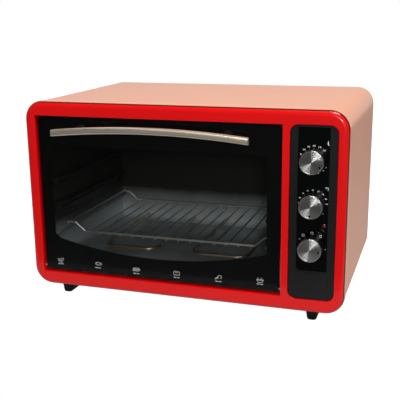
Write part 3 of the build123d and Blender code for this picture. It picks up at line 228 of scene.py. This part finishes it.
# Door glass: one pane of tempered glass, 4 mm thick, faintly grey. Its opacity stands for the tint,
# so that light falls into the oven through it, and the surface keeps the clean shine of glass.
GLASS_OPACITY = 0.15
GLASS_RIPPLE = 150 * MM
GLASS_RIPPLE_DEPTH = 0.02 * MM
pane, tree, shader, place = finish("tinted_tempered_glass", {
    "Base Color": srgb("050706"), "Roughness": 0.02, "IOR": 1.52, "Alpha": GLASS_OPACITY})
ripple = add_node(tree, "TexNoise", {"Scale": 1 / GLASS_RIPPLE, "Detail": 0.0}, {"Vector": place})
rippled = add_node(tree, "Bump", {"Distance": GLASS_RIPPLE_DEPTH}, {"Height": ripple.outputs["Fac"]})
feed(tree, shader, {"Normal": rippled.outputs["Normal"]})
dress(pane, "door_glass")

# Ceramic print on the back of the glass: black frit fired on all round, which leaves a clear window
# with a sagging lower edge. It is opaque and shows its gloss only through the glass.
FRIT_THICK = 0.1
FRIT_IN_GLASS = 0.1
FRIT_MARGIN = 0.6
FRIT_CLOUD = 30 * MM
WINDOW_HALF = 179.0
WINDOW_TOP = 237.0
WINDOW_SIDE_LOW = 84.0
WINDOW_MID_LOW = 60.5
WINDOW_LOW_R = 6.0
WINDOW_LOW_RISE = 5.0
WINDOW_TOP_R = 4.0
SAG_STEPS = 40
front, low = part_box("front_frame")[0][1:]
glass_low, glass_high = ([edge / MM for edge in corner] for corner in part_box("door_glass"))
door_x = (glass_low[0] + glass_high[0]) / 2


def stand_up(name, curve, x, z, depth, material, body):
    # The curve's filled shapes as a mesh in an upright plane, in millimetres from the oven's middle,
    # from the body's underside and behind the front face
    drawn = bpy.data.objects.new(name + "_outline", curve)
    bpy.context.scene.collection.objects.link(drawn)
    bpy.context.view_layer.update()
    mesh = bpy.data.meshes.new_from_object(drawn.evaluated_get(bpy.context.evaluated_depsgraph_get()))
    bpy.data.objects.remove(drawn)
    mesh.name = name
    mesh.transform(Matrix.Translation((x * MM, front + depth * MM, low + z * MM))
                   @ Matrix.Rotation(math.pi / 2, 4, "X"))
    mesh.materials.clear()
    mesh.materials.append(material)
    piece = bpy.data.objects.new(name, mesh)
    bpy.context.scene.collection.objects.link(piece)
    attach(piece, body)


def outline_piece(name, outlines, face, thick, material, body):
    # Flat outlines in (x, z) millimetres, with holes cut where one lies in another, printed on the
    # face at that depth
    curve = bpy.data.curves.new(name, "CURVE")
    curve.dimensions = "2D"
    curve.fill_mode = "BOTH"
    curve.extrude = thick * MM / 2
    for outline in outlines:
        spline = curve.splines.new("POLY")
        spline.points.add(len(outline) - 1)
        for point, (x, z) in zip(spline.points, outline):
            point.co = (x * MM, z * MM, 0, 1)
        spline.use_cyclic_u = True
    stand_up(name, curve, 0, 0, face - thick / 2, material, body)


def bar(x0, z0, x1, z1):
    return [(x0, z0), (x1, z0), (x1, z1), (x0, z1)]


def arc(centre, radius, start, end, steps):
    angles = [math.radians(start + (end - start) * i / steps) for i in range(steps + 1)]
    return [(centre[0] + radius * math.cos(a), centre[1] + radius * math.sin(a)) for a in angles]


sag = WINDOW_SIDE_LOW - WINDOW_MID_LOW
sag_r = (WINDOW_HALF ** 2 + sag ** 2) / (2 * sag)
window = [(door_x - WINDOW_HALF, WINDOW_SIDE_LOW + WINDOW_LOW_R)]
for step in range(1, SAG_STEPS):
    x = WINDOW_HALF * (2 * step / SAG_STEPS - 1)
    window.append((door_x + x, WINDOW_MID_LOW + sag_r - math.sqrt(sag_r ** 2 - x ** 2)))
low_centre = WINDOW_HALF - WINDOW_LOW_R
top_centre = WINDOW_HALF - WINDOW_TOP_R
window += arc((door_x + low_centre, WINDOW_SIDE_LOW + WINDOW_LOW_RISE), WINDOW_LOW_R, -50, 0, 6)
window += arc((door_x + top_centre, WINDOW_TOP - WINDOW_TOP_R), WINDOW_TOP_R, 0, 90, 6)
window += arc((door_x - top_centre, WINDOW_TOP - WINDOW_TOP_R), WINDOW_TOP_R, 90, 180, 6)
border = bar(glass_low[0] + FRIT_MARGIN, glass_low[2] - low / MM + FRIT_MARGIN,
             glass_high[0] - FRIT_MARGIN, glass_high[2] - low / MM - FRIT_MARGIN)
frit, tree, shader, place = finish("black_glass_frit", {
    "Roughness": 0.4, "IOR": 1.5, "Specular IOR Level": 0.1})
density = add_node(tree, "TexNoise", {"Scale": 1 / FRIT_CLOUD, "Detail": 2.0}, {"Vector": place})
frit_colour = add_node(tree, "Mix", {"data_type": "RGBA", 6: srgb("040505"), 7: srgb("080909")},
                       {0: density.outputs["Fac"]})
feed(tree, shader, {"Base Color": frit_colour.outputs[2]})
outline_piece("door_print", [border, window], glass_high[1] - front / MM - FRIT_IN_GLASS, FRIT_THICK,
              frit, "door")

# Cooking pictograms along the foot of the door: white ceramic ink screened on the front of the
# glass, six generic dishes of fine lines, each over two plain dashes.
INK_LINE = 0.55
INK_THICK = 0.04
INK_MESH = 0.6 * MM
# the screen's mesh leaves the ink thinner in places, where it looks greyer
ink, tree, shader, place = finish("white_screen_ink", {"Roughness": 0.5, "IOR": 1.5})
thinness = add_node(tree, "TexNoise", {"Scale": 1 / INK_MESH, "Detail": 2.0}, {"Vector": place})
ink_colour = add_node(tree, "Mix", {"data_type": "RGBA", 6: srgb("D3D6D6"), 7: srgb("EFF1F1")},
                      {0: thinness.outputs["Fac"]})
feed(tree, shader, {"Base Color": ink_colour.outputs[2]})


def stroke(points, width=INK_LINE, closed=False):
    # The outlines of a line of that width along the points
    count = len(points)
    left, right = [], []
    for i in range(count):
        before = points[i - 1] if (closed or i > 0) else points[i]
        after = points[(i + 1) % count] if (closed or i < count - 1) else points[i]
        along = Vector((after[0] - before[0], after[1] - before[1])).normalized()
        across = Vector((-along.y, along.x)) * width / 2
        left.append((points[i][0] + across.x, points[i][1] + across.y))
        right.append((points[i][0] - across.x, points[i][1] - across.y))
    return [left, right] if closed else [left + right[::-1]]


def oval(x, z, half_width, half_height):
    ring = arc((0, 0), 1.0, 0, 350, 20)
    return stroke([(x + half_width * px, z + half_height * pz) for px, pz in ring], closed=True)


def shifted(shapes, x, z):
    return [[(x + px, z + pz) for px, pz in shape] for shape in shapes]


dishes = [
    # biscuits
    oval(-3.2, 0, 1.9, 1.9) + oval(3.2, 1.4, 1.9, 1.9) + oval(0.4, -3.2, 1.7, 1.7),
    # fish
    stroke(arc((0, -2.4), 5.0, 30, 150, 10)) + stroke(arc((0, 2.6), 5.0, 210, 330, 10))
    + stroke([(4.0, 0.2), (6.4, 2.4), (6.4, -2.2), (4.0, 0.0)]) + [bar(-2.8, 0.4, -1.9, 1.3)],
    # pie in its dish
    oval(0, 0, 6.0, 2.6) + stroke([(-4, 0.9), (4, -0.9)]) + stroke([(-4, -0.9), (4, 0.9)])
    + stroke([(-6.0, -1.2), (-4.6, -3.6), (4.6, -3.6), (6.0, -1.2)]),
    # loaf
    stroke(arc((-1.6, 0.4), 3.4, 20, 175, 10) + [(-5.0, -2.8), (4.8, -2.8), (4.8, 0.4)]
           + arc((2.0, 0.6), 2.8, 0, 80, 6)) + stroke([(-2.4, 2.0), (-1.6, 0.2)])
    + stroke([(0.4, 2.4), (1.2, 0.6)]),
    # drumstick
    oval(2.0, 0.6, 3.0, 2.4) + stroke([(-0.8, -0.4), (-4.4, -2.2)], 2 * INK_LINE)
    + oval(-4.4, -2.6, 0.8, 0.8),
    # steaming bowl
    stroke([(-5.6, 0.2), (5.6, 0.2)]) + stroke(arc((0, 0.2), 4.8, 180, 360, 12))
    + stroke(arc((-2.2, 2.4), 1.2, 120, 240, 6)) + stroke(arc((1.2, 2.4), 1.2, -60, 60, 6)),
]
dashes = [bar(-5.2, -7.4, -0.6, -6.5), bar(0.8, -7.4, 4.6, -6.5)]
DISH_PLACES = [(-209.6, 44.6), (-141.4, 44.2), (-73.2, 41.2), (-4.2, 41.6), (65.1, 42.3), (131.5, 45.0)]
for number, (dish, (x, z)) in enumerate(zip(dishes, DISH_PLACES), 1):
    outline_piece(f"door_pictogram_{number}", shifted(dish + dashes, x, z), glass_low[1] - front / MM,
                  INK_THICK, ink, "door")

# Handle: a drawn stainless bar with rounded edges, brushed lengthwise and left bare, on two black
# moulded spacers. The brushing, drawn coarser than it is, pulls the highlights out along the bar.
BRUSH = 0.4 * MM
BRUSH_STRETCH = 50
BRUSH_DEPTH = 0.008 * MM
stainless, tree, shader, place = finish("brushed_stainless_steel", {
    "Base Color": srgb("F0E6D2"), "Metallic": 1.0, "Anisotropic": 0.5})
along = add_node(tree, "Mapping", {"Scale": (1 / BRUSH_STRETCH, 1.0, 1.0)}, {"Vector": place})
brushing = add_node(tree, "TexNoise", {"Scale": 1 / BRUSH, "Detail": 3.0},
                    {"Vector": along.outputs["Vector"]})
shine = add_node(tree, "MapRange", {"To Min": 0.34, "To Max": 0.5}, {"Value": brushing.outputs["Fac"]})
brushed = add_node(tree, "Bump", {"Distance": BRUSH_DEPTH}, {"Height": brushing.outputs["Fac"]})
feed(tree, shader, {"Roughness": shine.outputs["Result"], "Normal": brushed.outputs["Normal"]})
dress(stainless, "handle_bar")

# Control panel: moulded ABS. The raised border keeps the fine spark-eroded grain of the tool, drawn
# a little coarser than it is, and the sunk strip round the dials is polished to a deep black gloss.
STRIP_HALF = 23.0
STRIP_LOW = 67.0
STRIP_TOP = 283.0
SPARK_GRAIN = 0.6 * MM
SPARK_GRAIN_DEPTH = 0.04 * MM
knob_low, knob_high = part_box("timer_knob")
panel_x = (knob_low[0] + knob_high[0]) / 2 / MM
panel_abs, tree, shader, place = finish("grained_and_polished_abs", {
    "IOR": 1.5, "Specular IOR Level": 0.25})
axes = add_node(tree, "SeparateXYZ", links={"Vector": place})
strip_edges = [("X", "GREATER_THAN", (panel_x - STRIP_HALF) * MM),
               ("X", "LESS_THAN", (panel_x + STRIP_HALF) * MM),
               ("Z", "GREATER_THAN", low + STRIP_LOW * MM),
               ("Z", "LESS_THAN", low + STRIP_TOP * MM)]
within = [add_node(tree, "Math", {"operation": side, 1: limit}, {0: axes.outputs[axis]}).outputs["Value"]
          for axis, side, limit in strip_edges]
strip = within[0]
for test in within[1:]:
    strip = add_node(tree, "Math", {"operation": "MULTIPLY"}, {0: strip, 1: test}).outputs["Value"]
panel_colour = add_node(tree, "Mix", {"data_type": "RGBA", 6: srgb("101111"), 7: srgb("040505")},
                        {0: strip})
gloss = add_node(tree, "MapRange", {"To Min": 0.5, "To Max": 0.12}, {"Value": strip})
matt = add_node(tree, "Math", {"operation": "SUBTRACT", 0: 1.0}, {1: strip})
grain = add_node(tree, "TexNoise", {"Scale": 1 / SPARK_GRAIN, "Detail": 2.0}, {"Vector": place})
eroded = add_node(tree, "Math", {"operation": "MULTIPLY"},
                  {0: grain.outputs["Fac"], 1: matt.outputs["Value"]})
eroded_face = add_node(tree, "Bump", {"Distance": SPARK_GRAIN_DEPTH}, {"Height": eroded.outputs["Value"]})
feed(tree, shader, {"Base Color": panel_colour.outputs[2], "Roughness": gloss.outputs["Result"],
                    "Normal": eroded_face.outputs["Normal"]})
dress(panel_abs, "control_panel")

# Printed dials: white pad-printed figures round each knob, with a thermometer over the first dial
# and a clock over the second. The figures are plain numbers, and the last dial has heater symbols.
DIAL_FACE = 2.5
STRIP_FACE = 3.2
FIGURE_R = 20.6
FIGURE_H = 2.8
FIGURE_BOLD = 0.04
DOT_R = 0.6
SYMBOL_LINE = 0.4
CONTROLS = ("thermostat", "timer", "selector")
knob_z = {}
for control in CONTROLS:
    knob_low, knob_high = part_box(f"{control}_knob")
    knob_z[control] = ((knob_low[2] + knob_high[2]) / 2 - low) / MM


def on_dial(control, angle):
    turn = math.radians(angle)
    return panel_x + FIGURE_R * math.cos(turn), knob_z[control] + FIGURE_R * math.sin(turn)


def figures(control, marks):
    # Numbers, or dots where the text is empty, standing upright on a circle round the knob
    dots = []
    for angle, text in marks:
        x, z = on_dial(control, angle)
        if text:
            letters = bpy.data.curves.new(f"{control}_dial", "FONT")
            letters.body = text
            letters.size = FIGURE_H * MM
            letters.align_x = "CENTER"
            letters.align_y = "CENTER"
            letters.extrude = INK_THICK * MM / 2
            letters.offset = FIGURE_BOLD * MM
            stand_up(f"{control}_dial_figure_{text}", letters, x, z, DIAL_FACE - INK_THICK / 2, ink, "oven")
        else:
            dots.append(arc((x, z), DOT_R, 0, 340, 12))
    outline_piece(f"{control}_dial_dots", dots, DIAL_FACE, INK_THICK, ink, "oven")


figures("thermostat", [(158, "50"), (135, "100"), (113, "150"), (90, "200"), (67, "250"), (45, "300"),
                       (-29, ""), (-46, ""), (-69, "")])
figures("timer", [(180, "10"), (157, "20"), (134, "30"), (112, "40"), (90, "50"), (68, "60"),
                  (46, "70"), (24, "80"), (2, "90"), (-43, ""), (-93, "")])
figures("selector", [(150, ""), (-8, "")])

# a small oven for each way of heating, with its upper or lower element or both
OVEN_HALF = 1.7
ELEMENT_NEAR = 0.4 * OVEN_HALF
ELEMENT_FAR = 0.6 * OVEN_HALF
symbols = []
for angle, upper, lower in ((128, False, True), (90, True, False), (52, True, True)):
    x, z = on_dial("selector", angle)
    symbols += stroke(bar(x - OVEN_HALF, z - OVEN_HALF, x + OVEN_HALF, z + OVEN_HALF),
                      SYMBOL_LINE, closed=True)
    if upper:
        symbols.append(bar(x - ELEMENT_FAR, z + ELEMENT_NEAR, x + ELEMENT_FAR, z + ELEMENT_FAR))
    if lower:
        symbols.append(bar(x - ELEMENT_FAR, z - ELEMENT_FAR, x + ELEMENT_FAR, z - ELEMENT_NEAR))
outline_piece("selector_dial_symbols", symbols, DIAL_FACE, INK_THICK, ink, "oven")

SYMBOL_X = panel_x + 20.0
BULB_Z = 257.4
BULB_R = 1.3
STEM_TOP = 263.2
STEM_HALF = 0.6
stem = [(SYMBOL_X + STEM_HALF, STEM_TOP - STEM_HALF), (SYMBOL_X, STEM_TOP),
        (SYMBOL_X - STEM_HALF, STEM_TOP - STEM_HALF)]
outline_piece("thermometer_symbol", [arc((SYMBOL_X, BULB_Z), BULB_R, -230, 50, 14) + stem], STRIP_FACE,
              INK_THICK, ink, "oven")

CLOCK_Z = 193.5
CLOCK_R = 2.4
CLOCK_LINE = 0.7
clock_ring = stroke(arc((SYMBOL_X, CLOCK_Z), CLOCK_R, 0, 350, 24), CLOCK_LINE, closed=True)
clock_hand = stroke([(SYMBOL_X, CLOCK_Z + 1.3), (SYMBOL_X, CLOCK_Z - 0.3)], SYMBOL_LINE)
outline_piece("clock_symbol", clock_ring + clock_hand, STRIP_FACE, INK_THICK, ink, "oven")

# Knobs: skirts moulded in black ABS with a fine grain, each under a cap of spun aluminium. The lathe
# leaves concentric lines on the cap, drawn wider here than they are, and with the cap's faint crown
# and waviness they make its highlights stand as bright fans from the middle.
KNOB_GRAIN = 0.5 * MM
KNOB_GRAIN_DEPTH = 0.02 * MM
LATHE_PITCH = 0.45 * MM
LATHE_DEPTH = 0.003 * MM
CROWN = 3.0
WAVE_SLOPE = 0.03
WAVES_ROUND = 5.0
POINTER_DEPTH = 0.6 * MM
POINTER_REACH = 15.5 * MM
knob_abs, tree, shader, place = finish("black_moulded_abs", {
    "Base Color": srgb("090A0A"), "Roughness": 0.36, "IOR": 1.5, "Specular IOR Level": 0.2})
grain = add_node(tree, "TexNoise", {"Scale": 1 / KNOB_GRAIN, "Detail": 2.0}, {"Vector": place})
grained = add_node(tree, "Bump", {"Distance": KNOB_GRAIN_DEPTH}, {"Height": grain.outputs["Fac"]})
feed(tree, shader, {"Normal": grained.outputs["Normal"]})
dress(knob_abs, "handle_posts", *(f"{control}_knob" for control in CONTROLS))

for control in CONTROLS:
    cap_low, cap_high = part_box(f"{control}_knob_cap")
    middle = Vector(((cap_low[0] + cap_high[0]) / 2, 0, (cap_low[2] + cap_high[2]) / 2))
    spun, tree, shader, place = finish(f"spun_aluminium_{control}", {
        "Metallic": 1.0, "Roughness": 0.34, "Anisotropic": 0.95, "Anisotropic Rotation": 0.25})
    turning = add_node(tree, "Tangent", {"direction_type": "RADIAL", "axis": "Y"})
    from_middle = add_node(tree, "VectorMath", {"operation": "SUBTRACT", 1: middle}, {0: place})
    flat = add_node(tree, "VectorMath", {"operation": "MULTIPLY", 1: (1, 0, 1)},
                    {0: from_middle.outputs["Vector"]})
    length = add_node(tree, "VectorMath", {"operation": "LENGTH"}, {0: flat.outputs["Vector"]})
    radius = length.outputs["Value"]
    turns = add_node(tree, "Math", {"operation": "MULTIPLY", 1: 2 * math.pi / LATHE_PITCH}, {0: radius})
    lines = add_node(tree, "Math", {"operation": "SINE"}, {0: turns.outputs["Value"]})
    grooves = add_node(tree, "Math", {"operation": "MULTIPLY", 1: LATHE_DEPTH}, {0: lines.outputs["Value"]})
    # the crown falls off with the square of the radius
    squared = add_node(tree, "Math", {"operation": "MULTIPLY"}, {0: radius, 1: radius})
    crown = add_node(tree, "Math", {"operation": "MULTIPLY_ADD", 1: -CROWN},
                     {0: squared.outputs["Value"], 2: grooves.outputs["Value"]})
    # the waves depend on the bearing from the middle, and rise outwards
    bearing = add_node(tree, "VectorMath", {"operation": "NORMALIZE"}, {0: flat.outputs["Vector"]})
    waves = add_node(tree, "TexNoise", {"Scale": WAVES_ROUND, "Detail": 3.0, "Roughness": 0.7},
                     {"Vector": bearing.outputs["Vector"]})
    wave = add_node(tree, "Math", {"operation": "MULTIPLY"}, {0: waves.outputs["Fac"], 1: radius})
    face = add_node(tree, "Math", {"operation": "MULTIPLY_ADD", 1: WAVE_SLOPE},
                    {0: wave.outputs["Value"], 2: crown.outputs["Value"]})
    turned = add_node(tree, "Bump", {"Distance": 1.0}, {"Height": face.outputs["Value"]})
    # the pressed pointer, deeper than the cap's face, is coloured near black
    axes = add_node(tree, "SeparateXYZ", links={"Vector": place})
    deep = add_node(tree, "Math", {"operation": "GREATER_THAN", 1: cap_low[1] + POINTER_DEPTH},
                    {0: axes.outputs["Y"]})
    inner = add_node(tree, "Math", {"operation": "LESS_THAN", 1: POINTER_REACH}, {0: radius})
    pointer = add_node(tree, "Math", {"operation": "MULTIPLY"},
                       {0: deep.outputs["Value"], 1: inner.outputs["Value"]})
    cap_colour = add_node(tree, "Mix", {"data_type": "RGBA", 6: srgb("BDBDBB"), 7: srgb("101010")},
                          {0: pointer.outputs["Value"]})
    feed(tree, shader, {"Base Color": cap_colour.outputs[2], "Tangent": turning.outputs["Tangent"],
                        "Normal": turned.outputs["Normal"]})
    dress(spun, f"{control}_knob_cap")

# Indicator: a domed lens of clear red polycarbonate, moulded with small prisms and held behind the
# panel's hole. It is dark while the neon lamp behind it is off.
LENS_PRISM = 1.2 * MM
LENS_PRISM_DEPTH = 0.08 * MM
lens_red, tree, shader, place = finish("red_polycarbonate", {
    "Base Color": srgb("5A0A0C"), "Roughness": 0.08, "IOR": 1.58, "Coat Weight": 0.4})
prisms = add_node(tree, "TexVoronoi", {"Scale": 1 / LENS_PRISM}, {"Vector": place})
prism_face = add_node(tree, "Bump", {"Distance": LENS_PRISM_DEPTH}, {"Height": prisms.outputs["Distance"]})
feed(tree, shader, {"Normal": prism_face.outputs["Normal"]})
dress(lens_red, "indicator_lens")

# Controls behind the panel: brown phenolic housings of the thermostat, the switch, the lamp and the
# terminal block, a zinc-plated clockwork timer, and the copper bulb and capillary.
WOOD_FLOUR = 1.2 * MM
PASSIVATION = 10 * MM
PATINA = 8 * MM
# phenolic resin is filled with wood flour, which leaves a fine brown mottle
phenolic, tree, shader, place = finish("brown_phenolic_moulding", {"Roughness": 0.45, "IOR": 1.6})
flour = add_node(tree, "TexNoise", {"Scale": 1 / WOOD_FLOUR, "Detail": 3.0}, {"Vector": place})
phenolic_colour = add_node(tree, "Mix", {"data_type": "RGBA", 6: srgb("3A2416"), 7: srgb("533523")},
                           {0: flour.outputs["Fac"]})
feed(tree, shader, {"Base Color": phenolic_colour.outputs[2]})
dress(phenolic, "thermostat_body", "selector_body", "indicator_lamp", "terminal_block")

# yellow passivated zinc, with faint clouds of straw over its grey
clockwork, tree, shader, place = finish("zinc_plated_clockwork", {"Metallic": 1.0, "Roughness": 0.3})
passivated = add_node(tree, "TexNoise", {"Scale": 1 / PASSIVATION, "Detail": 2.0}, {"Vector": place})
iridescence = add_node(tree, "Mix", {"data_type": "RGBA", 6: srgb("B5B4A6"), 7: srgb("C6BE9E")},
                       {0: passivated.outputs["Fac"]})
feed(tree, shader, {"Base Color": iridescence.outputs[2]})
dress(clockwork, "timer_body")

# bare drawn copper, bright where it was bent and browner where it was handled
copper, tree, shader, place = finish("drawn_copper", {"Metallic": 1.0, "Roughness": 0.28})
patina = add_node(tree, "TexNoise", {"Scale": 1 / PATINA, "Detail": 2.0}, {"Vector": place})
copper_colour = add_node(tree, "Mix", {"data_type": "RGBA", 6: srgb("9A5B3C"), 7: srgb("C98361")},
                         {0: patina.outputs["Fac"]})
feed(tree, shader, {"Base Color": copper_colour.outputs[2]})
dress(copper, "thermostat_bulb")

# Feet and cord inlet: moulded in black thermoplastic rubber, the feet fixed under the base panel and
# the inlet snapped into the rear one. The rubber is dull, with a soft grain that scuffs to grey.
RUBBER_GRAIN = 6 * MM
RUBBER_GRAIN_DEPTH = 0.05 * MM
rubber, tree, shader, place = finish("black_thermoplastic_rubber", {
    "Roughness": 0.55, "IOR": 1.5, "Specular IOR Level": 0.15})
scuffs = add_node(tree, "TexNoise", {"Scale": 1 / RUBBER_GRAIN, "Detail": 4.0}, {"Vector": place})
rubber_colour = add_node(tree, "Mix", {"data_type": "RGBA", 6: srgb("060707"), 7: srgb("0F1011")},
                         {0: scuffs.outputs["Fac"]})
scuffed = add_node(tree, "Bump", {"Distance": RUBBER_GRAIN_DEPTH}, {"Height": scuffs.outputs["Fac"]})
feed(tree, shader, {"Base Color": rubber_colour.outputs[2], "Normal": scuffed.outputs["Normal"]})
dress(rubber, "foot_front_left", "foot_front_right", "foot_rear_left", "foot_rear_right", "cord_inlet")

# Studio: a white table whose front edge is just before the oven, in a white room that is dim behind
# the camera. A large soft lamp hangs high to the right, and a small one stands behind the camera and
# lights the fans on the knob caps.
TABLE_FRONT = -0.3
TABLE_BACK = 3.0
TABLE_HALF = 3.0
TABLE_SEEN = 0.9
TABLE_MIRRORED = 0.15
ROOM_SEEN = 1.0
ROOM_LIGHT = 0.4
ROOM_BRIGHT_END = 1.0
ROOM_DIM_END = 0.08
table_paint, tree, shader, place = finish("white_studio_table", {
    "Base Color": srgb("BFBFBF"), "Roughness": 0.9, "Specular IOR Level": 0.1,
    "Emission Color": (1, 1, 1, 1)})
path = add_node(tree, "LightPath")
mirrored = add_node(tree, "Math", {"operation": "MAXIMUM"}, {0: path.outputs["Is Glossy Ray"],
                                                             1: path.outputs["Is Transmission Ray"]})
glow = add_node(tree, "Math", {"operation": "MULTIPLY", 1: TABLE_MIRRORED}, {0: mirrored.outputs["Value"]})
seen_glow = add_node(tree, "Mix", {"data_type": "FLOAT", 3: TABLE_SEEN},
                     {0: path.outputs["Is Camera Ray"], 2: glow.outputs["Value"]})
feed(tree, shader, {"Emission Strength": seen_glow.outputs[0]})
table_mesh = bpy.data.meshes.new("studio_table")
table_mesh.from_pydata([(-TABLE_HALF, TABLE_FRONT, 0), (TABLE_HALF, TABLE_FRONT, 0),
                        (TABLE_HALF, TABLE_BACK, 0), (-TABLE_HALF, TABLE_BACK, 0)], [], [(0, 1, 2, 3)])
table_mesh.materials.append(table_paint)
table = bpy.data.objects.new("studio_table", table_mesh)
bpy.context.scene.collection.objects.link(table)

world = bpy.data.worlds.new("white_room")
world.use_nodes = True
bpy.context.scene.world = world
tree = world.node_tree
around = add_node(tree, "TexCoord")
direction = add_node(tree, "SeparateXYZ", links={"Vector": around.outputs["Generated"]})
room = add_node(tree, "MapRange", {"From Min": 0.1, "From Max": 0.75, "To Min": ROOM_DIM_END,
                                   "To Max": ROOM_BRIGHT_END}, {"Value": direction.outputs["Y"]})
path = add_node(tree, "LightPath")
mirrored = add_node(tree, "Math", {"operation": "MAXIMUM"}, {0: path.outputs["Is Glossy Ray"],
                                                             1: path.outputs["Is Transmission Ray"]})
lit_level = add_node(tree, "Mix", {"data_type": "FLOAT", 2: ROOM_LIGHT},
                     {0: mirrored.outputs["Value"], 3: room.outputs["Result"]})
seen_level = add_node(tree, "Mix", {"data_type": "FLOAT", 3: ROOM_SEEN},
                      {0: path.outputs["Is Camera Ray"], 2: lit_level.outputs[0]})
background = tree.nodes["Background"]
background.inputs["Color"].default_value = (1, 1, 1, 1)
feed(tree, background, {"Strength": seen_level.outputs[0]})

OVEN_MIDDLE = Vector((0, 0, 0.15))


def soft_light(name, place, size, power):
    lamp = bpy.data.lights.new(name, "AREA")
    lamp.shape = "RECTANGLE"
    lamp.size, lamp.size_y = size
    lamp.energy = power
    light = bpy.data.objects.new(name, lamp)
    light.location = place
    light.rotation_euler = (OVEN_MIDDLE - Vector(place)).to_track_quat("-Z", "Y").to_euler()
    bpy.context.scene.collection.objects.link(light)


soft_light("key_light", (0.6, -0.6, 2.0), (0.9, 0.7), 33)
soft_light("front_light", (0.7, -2.15, 0.76), (0.25, 0.25), 17)

# Camera: the photograph's place and lens, a little to the right of the oven and above it. It was
# solved from the straight edges of the body and the door.
CAMERA_PLACE = (0.38536, -1.20016, 0.46594)
YAW, PITCH, ROLL = math.radians(18.43), math.radians(14.40), math.radians(0.69)
look = Vector((-math.sin(YAW) * math.cos(PITCH), math.cos(YAW) * math.cos(PITCH), -math.sin(PITCH)))
level_right = Vector((math.cos(YAW), math.sin(YAW), 0))
level_down = look.cross(level_right)
right = math.cos(ROLL) * level_right + math.sin(ROLL) * level_down
down = -math.sin(ROLL) * level_right + math.cos(ROLL) * level_down
lens = bpy.data.cameras.new("photograph_camera")
lens.sensor_width = 36.0
lens.lens = 67.14
camera = bpy.data.objects.new("photograph_camera", lens)
camera_turn = Matrix((right, -down, -look)).transposed()
camera.matrix_world = Matrix.Translation(CAMERA_PLACE) @ camera_turn.to_4x4()
bpy.context.scene.collection.objects.link(camera)
bpy.context.scene.camera = camera
bpy.context.scene.view_settings.view_transform = "Standard"
